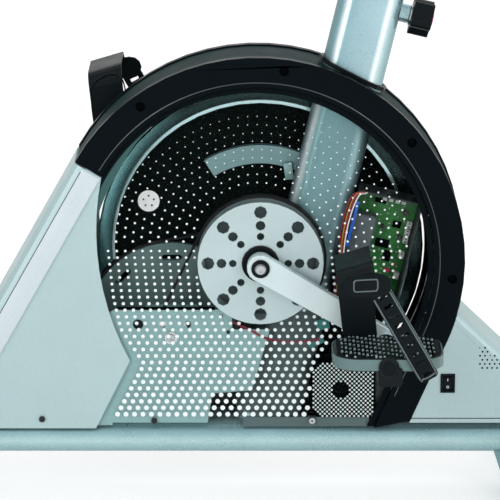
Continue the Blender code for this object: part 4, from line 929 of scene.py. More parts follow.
# Bands of painted highlight and painted shade across the tube's width.
TUBE_PAINTED_LIGHT = BandPaint("tube_silver_paint", "silver_paint", (0.3, 0.45, 0.5), 0.3, 0.5, way=LEAN_WAY,
                       span=(TUBE_MIDDLE - 0.0375, TUBE_MIDDLE + 0.0375),
                       bands=((0.0, (0.13, 0.25, 0.27)), (0.09, (0.23, 0.4, 0.44)), (0.155, (0.76, 0.87, 0.89)),
                              (0.22, (0.25, 0.42, 0.46)), (0.36, (0.31, 0.48, 0.53)), (0.73, (0.36, 0.52, 0.57)),
                              (0.8, (0.78, 0.86, 0.88)), (0.87, (0.44, 0.62, 0.64)), (1.0, (0.17, 0.32, 0.35))))
# Painted shade for the tube inside the housing, with a painted highlight band.
SHADED_TUBE = BandPaint("tube_paint_in_shade", "silver_paint", (0.16, 0.3, 0.32), 0.35, 0.4, way=LEAN_WAY,
                        span=(TUBE_MIDDLE - 0.0375, TUBE_MIDDLE + 0.0375),
                        bands=((0.0, (0.07, 0.13, 0.15)), (0.075, (0.66, 0.78, 0.8)), (0.15, (0.13, 0.26, 0.27)),
                               (0.32, (0.155, 0.3, 0.32)), (0.74, (0.15, 0.28, 0.3)), (0.84, (0.3, 0.48, 0.51)),
                               (0.93, (0.16, 0.29, 0.31)), (1.0, (0.03, 0.06, 0.06))))
COLUMN_WAY = (cos(radians(5.0)), 0.0, -sin(radians(5.0)))
COLUMN_MIDDLE = (CRANK + Vector((-0.455, 0, -0.2005))).dot(Vector(COLUMN_WAY))
# The column's bands are painted highlight and shade, copied from the seat tube.
COLUMN_PAINTED_LIGHT = BandPaint("column_silver_paint", "silver_paint", (0.3, 0.45, 0.5), 0.3, 0.5, way=COLUMN_WAY,
                         span=(COLUMN_MIDDLE - 0.0375, COLUMN_MIDDLE + 0.0375), bands=TUBE_PAINTED_LIGHT.bands)
# The rail's bands across its height are painted highlight and painted shade.
RAIL_PAINTED_LIGHT = BandPaint("rail_silver_paint", "silver_paint", (0.3, 0.45, 0.48), 0.3, 0.5,
                       span=(CRANK.z - 0.2405, CRANK.z - 0.2005),
                       bands=((0.0, (0.2, 0.34, 0.36)), (0.2, (0.31, 0.5, 0.52)), (0.44, (0.44, 0.62, 0.63)),
                              (0.64, (0.26, 0.44, 0.47)), (0.82, (0.14, 0.26, 0.29)), (0.93, (0.3, 0.48, 0.5)),
                              (1.0, (0.4, 0.56, 0.58))))
GRILLE_PRINT = Finish("grille_print", "clear_acrylic", (0.6, 0.7, 0.69), 0.55, mottle=0.01)
WHITE_PRINT = Finish("white_print", "clear_acrylic", (0.84, 0.92, 0.92), 0.55, mottle=0.01)
# Painted shade in the vent holes and behind the fan, and the colour of small dark marks.
SHADE_AND_MARK_BLACK = Finish("vent_shadow", "black_plastic", (0.004, 0.005, 0.006), 0.8, specular=0.03)
SCREW_BLACK = Finish("blackened_screw", "black_plastic", (0.01, 0.013, 0.015), 0.3, 0.4)
ZINC = Finish("zinc_screw", "bright_steel", (0.42, 0.45, 0.47), 0.28, 1.0)
RED = Finish("red_plastic", "black_plastic", (0.42, 0.008, 0.05), 0.35)
RED_WIRE = Finish("red_wire", "black_rubber", (0.3, 0.008, 0.045), 0.4)
BLUE_WIRE = Finish("blue_wire", "black_rubber", (0.01, 0.09, 0.48), 0.4)
YELLOW_WIRE = Finish("yellow_wire", "black_rubber", (0.5, 0.32, 0.03), 0.4)
WHITE_PLASTIC = Finish("white_plastic", "grey_plastic", (0.92, 0.96, 0.96), 0.4, mottle=0.01)
TEAL = Finish("teal_plastic", "grey_plastic", (0.02, 0.22, 0.2), 0.4)
SCREEN = Finish("display_glass", "black_plastic", (0.035, 0.045, 0.05), 0.1, coat=0.6, grain_depth=0.0)
PEDAL_BAND = Finish("pedal_side_grey", "grey_plastic", (0.105, 0.18, 0.18), 0.3)
# Painted shade on the seat tube's foot, and the colour of the window sill.
SHADE_AND_SILL_GREY = Finish("tube_shroud_grey", "grey_plastic", (0.1, 0.15, 0.155), 0.5, specular=0.3)
TRAY_GREY = Finish("tray_dark_grey", "grey_sheet_metal", (0.022, 0.03, 0.032), 0.45, specular=0.3)
CONNECTOR = Finish("connector_nylon", "grey_plastic", (0.6, 0.66, 0.64), 0.45)
CAN = Finish("capacitor_sleeve", "grey_plastic", (0.02, 0.02, 0.035), 0.3)
PALE_PRINT = Finish("pale_grey_print", "grey_plastic", (0.42, 0.44, 0.45), 0.5)


class Trees:
    """Geometry Nodes trees, each built once, and the plain meshes that they give."""

    @staticmethod
    def worn(nodes: Nodes, geometry: object, material: object) -> dict[str, object]:
        """End a tree in Realize Instances and Set Material."""
        real = nodes.run("GeometryNodeRealizeInstances", {"Geometry": geometry})
        return {"Geometry": nodes.run("GeometryNodeSetMaterial", {"Geometry": real, "Material": material})}

    @staticmethod
    def grow(name: str, start: Mesh, fill: Callable, values: dict) -> Mesh:
        """Run a tree on a mesh and keep the plain mesh that it gives.

        Args:
            name: the new mesh's name.
            start: the mesh that the tree starts from, dropped afterwards.
            fill: the method that fills the tree.
            values: the tree's inputs by name.
        Returns:
            The plain mesh.
        """
        tree = group("GeometryNodeTree", fill, ("Geometry", *values))
        holder = placed(name, start)
        modifier = holder.modifiers.new(name, "NODES")
        modifier.node_group = tree
        for item in tree.interface.items_tree:
            if item.item_type == "SOCKET" and item.in_out == "INPUT" and item.name in values:
                modifier[item.identifier] = values[item.name]
        made = evaluated(holder)
        bpy.data.objects.remove(holder)
        bpy.data.meshes.remove(start)
        made.name = name
        return made

    @staticmethod
    def studs(nodes: Nodes, given: NodeOutputs) -> dict[str, object]:
        """One small shape on every point, turned and sized by the point's own values.

        Args:
            nodes: the group's nodes.
            given: the group's inputs.
        Returns:
            The group's outputs by name.
        """
        shape = nodes.run("GeometryNodeObjectInfo", {"Object": given["Shape"]}, "Geometry")
        kinds = {"way": "FLOAT_VECTOR", "turn": "FLOAT", "size": "FLOAT_VECTOR"}
        read = {key: nodes.run("GeometryNodeInputNamedAttribute", {"Name": key}, data_type=kind)
                for key, kind in kinds.items()}
        upright = nodes.run("FunctionNodeAlignRotationToVector", {"Vector": read["way"]}, axis="Z")
        spun = nodes.run("FunctionNodeAxisAngleToRotation", {"Axis": (0, 0, 1), "Angle": read["turn"]})
        facing = nodes.run("FunctionNodeRotateRotation", {"Rotation": upright, "Rotate By": spun},
                           rotation_space="LOCAL")
        made = nodes.run("GeometryNodeInstanceOnPoints", {"Points": given["Geometry"], "Instance": shape,
                                                          "Rotation": facing, "Scale": read["size"]})
        return Trees.worn(nodes, made, given["Material"])

    @staticmethod
    def path_tube(nodes: Nodes, given: NodeOutputs) -> dict[str, object]:
        """A round tube along a line of points, smoothed on its way.

        Args:
            nodes: the group's nodes.
            given: the group's inputs.
        Returns:
            The group's outputs by name.
        """
        line = nodes.run("GeometryNodeMeshToCurve", {"Mesh": given["Geometry"]})
        smooth = nodes.run("GeometryNodeCurveSplineType", {"Curve": line}, spline_type="CATMULL_ROM")
        even = nodes.run("GeometryNodeResampleCurve", {"Curve": smooth, "Length": given["Step"]}, mode="LENGTH")
        section = nodes.run("GeometryNodeCurvePrimitiveCircle", {"Resolution": given["Sides"],
                                                                 "Radius": given["Radius"]})
        tube = nodes.run("GeometryNodeCurveToMesh", {"Curve": even, "Profile Curve": section, "Fill Caps": True})
        return Trees.worn(nodes, tube, given["Material"])


@dataclass(frozen=True)
class Stud:
    """One small repeated shape: where it sits, the way it faces, its turn and its size."""

    place: Vector
    way: Vector
    size: float | Sequence[float] = 1.0
    turn: float = 0.0


class Recess(Enum):
    """The recess in a screw's head."""

    CROSS = "cross"
    SOCKET = "socket"


class Small:
    """Small repeated shapes, and the runs of them that the trees make."""

    @staticmethod
    def head(name: str, drive: Recess) -> Mesh:
        """Make a screw's head of radius 1 with the recess that a driver fits.

        Args:
            name: the mesh's name.
            drive: the sort of recess.
        Returns:
            The closed head, which stands on its origin.
        """
        steps = 16 if drive is Recess.CROSS else 12
        recess = {Recess.CROSS: (0.55, 0.24, 0.13, 0.24), Recess.SOCKET: (0.52, 0.45)}[drive]
        loops = ((1.0, 0.0), (1.0, 0.22), (0.86, 0.42), (None, 0.46), (None, 0.12))
        work = bmesh.new()
        rows: list[list[BMVert]] = []
        for radius, height in loops:
            row = []
            for i in range(steps):
                reach = recess[i % len(recess)] if radius is None else radius
                angle = tau * i / steps
                row.append(work.verts.new((reach * cos(angle), reach * sin(angle), height)))
            rows.append(row)
        for lower, upper in zip(rows, rows[1:]):
            for i in range(steps):
                j = (i + 1) % steps
                work.faces.new((lower[i], lower[j], upper[j], upper[i]))
        work.faces.new(rows[0])
        work.faces.new(rows[-1])
        return Forms.closed(work, name)

    @staticmethod
    def bead() -> Mesh:
        """Make one bead of a weld."""
        return Forms.lathe("bead_shape", [(0, -0.5), (0.8, -0.4), (1.0, 0), (0.8, 0.4), (0, 0.5)], 8)

    @staticmethod
    def dot() -> Mesh:
        """Make a flat round dot of radius 1."""
        return Forms.lathe("dot_shape", [(0, 0), (1, 0), (1, 1), (0, 1)], 10)

    @staticmethod
    def run(name: str, shape: Mesh, studs: Sequence[Stud], finish: Finish, body: str = "base") -> None:
        """Place a shape on every stud, as one piece.

        Args:
            name: the piece's name.
            shape: the shape, dropped afterwards.
            studs: the places.
            finish: the finish that the shapes wear.
            body: the body that they move with.
        """
        points = bpy.data.meshes.new(f"{name}_points")
        points.from_pydata([stud.place for stud in studs], [], [])
        sizes = [(stud.size,) * 3 if isinstance(stud.size, (int, float)) else stud.size for stud in studs]
        for key, values in (("way", [stud.way for stud in studs]), ("size", sizes)):
            layer = points.attributes.new(key, "FLOAT_VECTOR", "POINT")
            layer.data.foreach_set("vector", [part for value in values for part in value])
        turn = points.attributes.new("turn", "FLOAT", "POINT")
        turn.data.foreach_set("value", [radians(stud.turn) for stud in studs])
        holder = placed(shape.name, shape)
        made = Trees.grow(name, points, Trees.studs, {"Shape": holder, "Material": finish.material()})
        bpy.data.objects.remove(holder)
        add(made, finish, body)

    @staticmethod
    def screws(name: str, drive: Recess, studs: Sequence[Stud], finish: Finish, body: str = "base") -> None:
        """Drive a screw at every stud."""
        Small.run(name, Small.head(f"{name}_shape", drive), studs, finish, body)

    @staticmethod
    def spaced(line: Sequence[Vector], step: float) -> list[tuple[Vector, Vector]]:
        """Space places evenly along a closed line, each with the line's way there.

        Args:
            line: the closed line's corners.
            step: the wanted distance between two places.
        Returns:
            The places and the ways.
        """
        sides = [(first, second - first) for first, second in zip(line, [*line[1:], line[0]])]
        total = sum(side.length for _, side in sides)
        count, found, passed, k = max(round(total / step), 3), [], 0.0, 0
        for i in range(count):
            while passed + sides[k][1].length < total * i / count:
                passed += sides[k][1].length
                k += 1
            way = sides[k][1].normalized()
            found.append((sides[k][0] + way * (total * i / count - passed), way))
        return found

    @staticmethod
    def tube(name: str, places: Sequence[Vector], radius: float, finish: Finish, step: float, body: str = "base",
             sides: int = 8, ring: bool = False) -> None:
        """Run a round tube along a line of places, as one piece.

        Args:
            name: the piece's name.
            places: the line's points.
            radius: the tube's radius.
            finish: the finish that the tube wears.
            step: the distance between two sections.
            body: the body that it moves with.
            sides: the number of the section's sides.
            ring: whether the line closes on itself.
        """
        line = bpy.data.meshes.new(f"{name}_line")
        pairs = [(i, i + 1) for i in range(len(places) - 1)]
        if ring:
            pairs.append((len(places) - 1, 0))
        line.from_pydata(list(places), pairs, [])
        made = Trees.grow(name, line, Trees.path_tube, {"Radius": radius, "Step": step, "Sides": sides,
                                                        "Material": finish.material()})
        work = bmesh.new()
        work.from_mesh(made)
        bpy.data.meshes.remove(made)
        add(Forms.closed(work, name), finish, body)


def polar(radius: float, turn: float, centre: Point2 = (0.0, 0.0)) -> Point2:
    """Return the point at a radius and an angle from a centre."""
    angle = radians(turn)
    return (centre[0] + radius * cos(angle), centre[1] + radius * sin(angle))


def leaned(place: Vector, turn: float) -> Matrix:
    """Return the matrix that leans a piece's own frame rearwards about a place."""
    return Matrix.Translation(place) @ Matrix.Rotation(radians(turn), 4, "Y")


def upright(side: Side) -> Matrix:
    """Return the matrix that stands a flat outline in the XZ plane, its height pointing to a side."""
    turned = Matrix(((1, 0, 0, 0), (0, 0, side.value, 0), (0, 1, 0, 0), (0, 0, 0, 1)))
    return Matrix.Translation((CRANK.x, 0, CRANK.z)) @ turned


def plate(name: str, outline: Sequence[Point2], low: float, high: float, side: Side, finish: Finish,
          bevel: float = 0.0) -> None:
    """Add an upright plate on the fixed body.

    Args:
        name: the piece's name.
        outline: the corners, counted from the crank.
        low: the inner face's distance from the machine's middle.
        high: the outer face's distance.
        side: the side that the plate faces.
        finish: the finish that it wears.
        bevel: the width of the chamfer round the outer face.
    """
    add(Forms.prism(name, outline, low, high, upright(side), bevel), finish)


@dataclass
class Base:
    """Rail, feet, wheels and levelling caps, with their bolts and welds."""

    foot_centres: tuple[Point2, Point2] = ((-0.41515, 0.029), (0.41985, 0.029))
    foot_radius: float = 0.025
    weld_radius: float = 0.0016
    bolt_radius: float = 0.0062
    wheel_half: float = 0.0095

    def build(self) -> None:
        """Dress the base and add what its solids leave out."""
        # The rail and its skin wear bands of painted highlight and shade.
        dress(RAIL_PAINTED_LIGHT, "base_rail")
        dress(SILVER, "front_foot_tube", "rear_foot_tube")
        (low, *_), (high, *_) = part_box("base_rail")
        along = Matrix(((0, 0, 1, 0), (1, 0, 0, 0), (0, 1, 0, CRANK.z - 0.2205), (0, 0, 0, 1)))
        add(Forms.oval_skin("rail_skin", 0.08, 0.04, low + 0.001, high - 0.001, along), RAIL_PAINTED_LIGHT)
        dress(BLACK, "front_rail_cap", "rear_rail_cap")
        for side in Side:
            dress(BLACK, f"{side.word}_front_cap", f"{side.word}_level_cap")
            dress(RUBBER, f"{side.word}_transport_wheel")
            self.wheel_hub(side)
        self.rail_end_bolts()
        self.weld_beads()

    def wheel_hub(self, side: Side) -> None:
        """Set a steel axle bolt in a transport wheel.

        Args:
            side: the machine's side.
        """
        centre = joint_place(f"{side.word}_wheel_roll")
        studs = [Stud(centre + Vector((0, way * self.wheel_half, 0)), Vector((0, way, 0)), self.bolt_radius)
                 for way in (-1, 1)]
        Small.screws(f"{side.word}_wheel_bolts", Recess.SOCKET, studs, ZINC, f"{side.word}_wheel")

    def rail_end_bolts(self) -> None:
        """Put a screw in the middle of each rail cap."""
        front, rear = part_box("front_rail_cap"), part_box("rear_rail_cap")
        middle = (front[0][2] + front[1][2]) / 2
        studs = [Stud(Vector((front[0][0] + 0.0003, 0, middle)), Vector((-1, 0, 0)), 0.0048),
                 Stud(Vector((rear[1][0] - 0.0003, 0, middle)), Vector((1, 0, 0)), 0.0048)]
        Small.screws("rail_cap_screws", Recess.CROSS, studs, SCREW_BLACK)

    def weld_beads(self) -> None:
        """Lay a weld along each joint of the rail and a foot tube."""
        half = 0.03
        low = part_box("base_rail")[0][2]
        studs = []
        for x, z in self.foot_centres:
            for way in (-1, 1):
                for i in range(19):
                    y = half * (i / 9 - 1)
                    lift = low + 0.0005 + 0.014 * (abs(y) / half) ** 6
                    reach = sqrt(max(self.foot_radius ** 2 - (lift - z) ** 2, 0.0))
                    studs.append(Stud(Vector((x + way * (reach + 0.0004), y, lift)), Vector((0, 1, 0)),
                                      (self.weld_radius, self.weld_radius, 0.0044)))
        Small.run("foot_welds", Small.bead(), studs, SILVER)


@dataclass
class Housing:
    """Trim rings, covers and see-through windows, with their screws, print and vents."""

    ring_x: float = -0.004
    ring_inner: float = 0.209
    ring_outer: float = 0.245
    lip_inner: float = 0.2012
    edge_radius: float = 0.2083
    lip_start: float = 213.0
    lip_rise: float = 0.0028
    ring_start: float = 150.5
    ring_end: float = -23.5
    ring_face: float = 0.048
    screw_circle: float = 0.231
    screw_angles: tuple[float, ...] = (126.0, 82.2, 38.5, -5.2)
    screw_seat: float = 0.0405
    window_face: float = 0.0425
    cover_face: float = 0.046
    cover_bottom: float = -0.205
    print_centre: Point2 = (-0.004, 0.0185)
    print_radius: float = 0.176
    print_inner: float = 0.0775
    print_outer: float = 0.1815
    ring_pitch: float = 0.0099
    row_pitch: float = 0.00804
    dot_pitch: float = 0.0101
    field_left: tuple[Point2, ...] = ((0.0185, -0.18), (-0.046, -0.1735), (-0.0826, -0.1653),
                                      (-0.126, -0.138), (-0.19, -0.171))
    field_right: tuple[Point2, ...] = ((0.0185, 0.172), (-0.101, 0.131), (-0.109, 0.0724),
                                       (-0.1495, 0.0606), (-0.19, 0.057))
    print_rings: int = 11
    print_rows: int = 26
    print_top: float = 0.175
    print_fall: float = 0.365
    dot_low: float = 0.003
    dot_high: float = 0.0005
    dot_growth: float = 1.15
    print_depth: float = 0.0002
    window_screws: tuple[Point2, ...] = ((-0.1265, -0.1965), (0.0618, -0.1965))
    cover_screws: tuple[Point2, ...] = ((-0.26, -0.193), (0.33, -0.189))
    vent_outline: tuple[Point2, ...] = ((0.258, -0.1345), (0.3, -0.1345), (0.258, -0.095))

    def build(self) -> None:
        """Dress the housing and add what its solids leave out."""
        dress(CASING, "casing_band")
        dress(PANEL, "front_cover", "rear_cover")
        dress(BLACK, "switch_bezel", "rocker", "mains_inlet")
        for side in Side:
            dress(TRIM, f"{side.word}_trim_ring")
            dress(CLEAR, f"{side.word}_clear_cover")
            self.window_print(side)
            self.grille_print(side)
            self.ring_bead(side)
            self.inner_lip(side)
            self.band_skin(side)
            self.vents(side)
            self.cover_lines(side)
        self.screws()
        self.inlet_pins()
        self.switch_marks()

    def on_ring(self, radius: float, turn: float) -> Point2:
        """Return the point at a radius and an angle from the trim ring's centre."""
        return polar(radius, turn, (self.ring_x, 0.0))

    def field_edge(self, edge: Sequence[Point2], height: float) -> float:
        """Return how far out an edge of the printed field stands at a height.

        Args:
            edge: the edge's points, as (height, way out).
            height: the height, counted from the crank.
        Returns:
            The way out.
        """
        for (upper, first), (lower, second) in zip(edge, edge[1:]):
            if height >= lower:
                break
        return first + (second - first) * (upper - height) / (upper - lower)

    def window_spots(self) -> list[Point2]:
        """Return the window's dots: rings over the crank, then rows that follow the field's front edge.

        Returns:
            The dots' places, counted from the crank.
        """
        found = []
        for k in range(self.print_rings):
            radius = self.print_radius - k * self.ring_pitch
            count = round(pi * radius / (1.1 * self.dot_pitch))
            found += [polar(radius, 180 * (i + 0.5 * (k % 2)) / count, self.print_centre) for i in range(count)]
        for j in range(self.print_rows):
            height = self.print_centre[1] - 0.006 - j * self.row_pitch
            x = self.field_edge(self.field_left, height)
            while x < self.field_edge(self.field_right, height):
                found.append((x, height))
                x += self.dot_pitch
        return [(x, z) for x, z in found if hypot(x, z) > self.print_inner
                and (z < 0 or hypot(x, z) < self.print_outer)]

    def lattice(self, outline: Sequence[Point2], centre: Point2, pitch: Point2, inner: float = 0.0) -> list[Point2]:
        """Fill an outline with staggered rows.

        Args:
            outline: the field's corners.
            centre: where one of the rows has a dot.
            pitch: the distances between two dots of a row and between two rows.
            inner: the radius about the centre that stays bare.
        Returns:
            The dots' places.
        """
        spots = [(centre[0] + pitch[0] * (i + 0.5 * (k % 2)), centre[1] + pitch[1] * k)
                 for k in range(-16, 17) for i in range(-16, 17)]
        return [spot for spot in spots if Forms.inside(outline, *spot) and dist(spot, centre) >= inner]

    def dots(self, name: str, side: Side, face: float, spots: Sequence[Point2], finish: Finish,
             radius: float = 0.0) -> None:
        """Lay flat dots on a face; without a radius they shrink with the height.

        Args:
            name: the piece's name.
            side: the machine's side.
            face: how far out the dots lie.
            spots: the dots' places, counted from the crank.
            finish: the finish that they wear.
            radius: the radius of every dot.
        """
        studs = []
        for x, z in spots:
            share = min(max((self.print_top - z) / self.print_fall, 0.0), 1.0)
            size = radius or self.dot_high + (self.dot_low - self.dot_high) * share ** self.dot_growth
            studs.append(Stud(beside_crank(x, side.value * face, z), side.way, (size, size, self.print_depth)))
        dot = Forms.prism("dot_shape", Forms.ring(1.0, 12), 0.0, 1.0)
        Small.run(name, dot, studs, finish)

    def window_print(self, side: Side) -> None:
        """Print the window's dots, which grow downwards and stop round the guard disc."""
        self.dots(f"{side.word}_window_dots", side, self.window_face, self.window_spots(), WHITE_PRINT)

    def grille_print(self, side: Side) -> None:
        """Print the closer dots in front of the fan, bare in the middle.

        Args:
            side: the machine's side.
        """
        low, high, left, right = -0.193, -0.1235, 0.0618, 0.1335
        outline = [(left + 0.012, low), (right, low), (right, high), (left + 0.012, high),
                   (left, high - 0.012), (left, low + 0.014)]
        centre = ((left + right) / 2 - 0.002, (low + high) / 2)
        self.dots(f"{side.word}_grille_dots", side, self.window_face,
                  self.lattice(outline, centre, (0.0054, 0.0027), 0.01), GRILLE_PRINT, 0.00128)

    def vents(self, side: Side) -> None:
        """Lay black dots of painted shade for the rear cover's small vent holes."""
        spots = self.lattice(self.vent_outline, (0.275, -0.12), (0.0058, 0.005))
        self.dots(f"{side.word}_vent_holes", side, self.cover_face - 0.00005, spots, SHADE_AND_MARK_BLACK, 0.0012)

    def ring_bead(self, side: Side) -> None:
        """Run a fine raised line round the ring, near its inner edge, in a lighter colour that is a painted highlight.

        Args:
            side: the machine's side.
        """
        radius = self.ring_inner + 0.0065
        places = [self.on_ring(radius, self.ring_start - 1.5 - 3.0 * i) for i in range(58)]
        end = self.on_ring(radius, self.ring_end)
        slant = radians(self.ring_end)
        places.append((end[0] + 0.085 * sin(slant), end[1] - 0.085 * cos(slant)))
        self.raised_line(side, "ring_bead", self.ring_face - 0.0001, places, 0.0008, TRIM_HIGHLIGHT, 0.006)

    def raised_line(self, side: Side, kind: str, face: float, points: Iterable[Point2], radius: float,
                    finish: Finish, step: float, sides: int = 8) -> None:
        """Lay a fine tube on a face of the housing.

        Args:
            side: the machine's side.
            kind: the piece's name without its side.
            face: how far out the tube's middle lies.
            points: the line's points, counted from the crank.
            radius: the tube's radius.
            finish: the finish that it wears.
            step: the distance between two sections.
            sides: the number of the section's sides.
        """
        line = [beside_crank(x, side.value * face, z) for x, z in points]
        Small.tube(f"{side.word}_{kind}", line, radius, finish, step, sides=sides)

    def leg_point(self, radius: float, height: float) -> Point2:
        """Return the point of the ring's straight rear leg at a height, for a ring radius.

        Args:
            radius: the radius about the ring's centre.
            height: the height, counted from the crank.
        Returns:
            The point, counted from the crank.
        """
        x, z = self.on_ring(radius, self.ring_end)
        run = (z - height) / cos(radians(self.ring_end))
        return (x + run * sin(radians(self.ring_end)), height)

    def inner_lip(self, side: Side) -> None:
        """Lay the dark lip that carries the ring's inner edge down onto the window, and a strip of painted shade of
        the rim's outer band at the front.

        Args:
            side: the machine's side.
        """
        outer, inner = self.ring_inner - 0.0004, self.lip_inner
        steps = int((self.lip_start - self.ring_end) / 3.0)
        angles = [self.lip_start - 3.0 * i for i in range(steps + 1)] + [self.ring_end]
        outside = [self.on_ring(outer, angle) for angle in angles]
        inside = [self.on_ring(inner + self.lip_rise * min(max(angle / 60 - 1, 0), 1), angle) for angle in angles]
        outline = outside + [self.leg_point(outer, self.cover_bottom + 0.002),
                             self.leg_point(inner, self.cover_bottom + 0.002)] + inside[::-1]
        plate(f"{side.word}_inner_lip", outline, self.window_face + 0.0001, self.window_face + 0.0016, side, TRIM,
              0.0006)
        # A strip on the window, widening downwards, is painted shade of the rim's outer band.
        turns = range(124, 188, 3)
        widths = [0.0002 + 0.0096 * min(1.0, (turn - turns[0]) / 24) for turn in turns]
        edge = [polar(self.edge_radius, turn) for turn in turns]
        edge += [polar(self.edge_radius - width, turn) for turn, width in reversed(list(zip(turns, widths)))]
        plate(f"{side.word}_window_edge", edge, self.window_face + 0.0001, self.window_face + 0.0003, side, RIM_SHADE_STRIP)

    def slope_point(self, radius: float, height: float) -> Point2:
        """Return the point of the front slope at a height, for a ring radius.

        Args:
            radius: the radius about the ring's centre.
            height: the height, counted from the crank.
        Returns:
            The point, counted from the crank.
        """
        x, z = self.on_ring(radius, self.ring_start)
        run = (z - height) / cos(radians(180 - self.ring_start))
        return (x - run * sin(radians(180 - self.ring_start)), height)

    def band_skin(self, side: Side) -> None:
        """Lay the brighter painted skin on the front cover's raised band.

        Args:
            side: the machine's side.
        """
        inner, outer = self.ring_inner + 0.0012, self.ring_outer - 0.0105
        gap = self.ring_start + 0.9
        outline = [self.on_ring(outer, gap), self.on_ring(inner, gap),
                   self.slope_point(inner, self.cover_bottom + 0.002),
                   self.slope_point(outer, self.cover_bottom + 0.002)]
        plate(f"{side.word}_band_skin", outline, self.ring_face + 0.00005, self.ring_face + 0.00045, side, BAND_PAINT,
              0.0002)
        edge = self.ring_outer - 0.0112
        ends = (self.slope_point(edge, self.cover_bottom + 0.004), self.slope_point(edge, 0.02),
                self.on_ring(edge, gap + 0.6))
        self.raised_line(side, "band_line", self.ring_face + 0.0003, ends, 0.0005, TRIM, 0.02)

    def cover_lines(self, side: Side) -> None:
        """Press the fold lines into the rear cover and along the covers' feet.

        Args:
            side: the machine's side.
        """
        crest = self.on_ring(self.ring_outer + 0.0005, -14.5)
        slope = radians(43.7)
        inward = (-sin(slope) * 0.0125, -cos(slope) * 0.0125)
        start = (crest[0] + inward[0] + 0.004, crest[1] + inward[1] - 0.004)
        reach = (start[1] + 0.19) / sin(slope)
        end = (start[0] + reach * cos(slope), start[1] - reach * sin(slope))
        face = self.cover_face + 0.0001
        self.raised_line(side, "rear_fold", face, (start, end), 0.0006, PANEL, 0.01)
        foot = ((0.16, -0.1925), (end[0] - 0.004, -0.1925))
        self.raised_line(side, "rear_foot_line", face, foot, 0.0005, SHADE_AND_MARK_BLACK, 0.02, 6)

    def screws(self) -> None:
        """Drive the ring's, the window's and the covers' screws."""
        ring, small, bright = [], [], []
        for side in Side:
            way = side.way
            for angle in self.screw_angles:
                x, z = self.on_ring(self.screw_circle, angle)
                ring.append(Stud(beside_crank(x, side.value * self.screw_seat, z), way, 0.005, angle))
            spots = [(self.window_screws[0], self.window_face, small),
                     (self.window_screws[1], self.window_face, bright),
                     (self.cover_screws[0], self.ring_face, small), (self.cover_screws[1], self.cover_face, small)]
            for (x, z), face, run in spots:
                run.append(Stud(beside_crank(x, side.value * face, z), way, 0.0044 if run is bright else 0.0038, 20))
            x, z = self.window_screws[1]
            small.append(Stud(beside_crank(x, side.value * (self.window_face + 0.0007), z), way, 0.0026, 20))
        for name, studs, drive, finish in (("ring_screws", ring, Recess.SOCKET, INNER_BLACK),
                                           ("cover_screws", small, Recess.CROSS, SCREW_BLACK),
                                           ("window_screws", bright, Recess.CROSS, ZINC)):
            Small.screws(name, drive, studs, finish)

    def inlet_pins(self) -> None:
        """Stand the three flat pins in the mains inlet."""
        low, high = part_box("mains_inlet")
        x, z = (low[0] + high[0]) / 2, (low[2] + high[2]) / 2
        places = ((x, z + 0.0022), (x - 0.0065, z - 0.0018), (x + 0.0065, z - 0.0018))
        pins = [Forms.block("pin", (0.0018, 0.01, 0.0042), Matrix.Translation((px, 0.035, pz)), 0.0003)
                for px, pz in places]
        add(Forms.joined("inlet_pins", pins), ZINC)

    def switch_marks(self) -> None:
        """Print the plain on and off marks on the rocker."""
        low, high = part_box("rocker")
        x, z = (low[0] + high[0]) / 2, (low[2] + high[2]) / 2
        face = low[1] + 0.0003
        bar = Forms.block("bar", (0.0008, 0.0003, 0.003), Matrix.Translation((x, face, z + 0.0045)), 0.0001)
        ring = Forms.lathe("ring", [(0.0011, 0), (0.0016, 0), (0.0016, 0.0003), (0.0011, 0.0003)], 16,
                           Forms.facing(Vector((x, face, z - 0.0042)), Vector((0, -1, 0))))
        add(Forms.joined("switch_marks", [bar, ring]), WHITE_PRINT, "power_rocker")


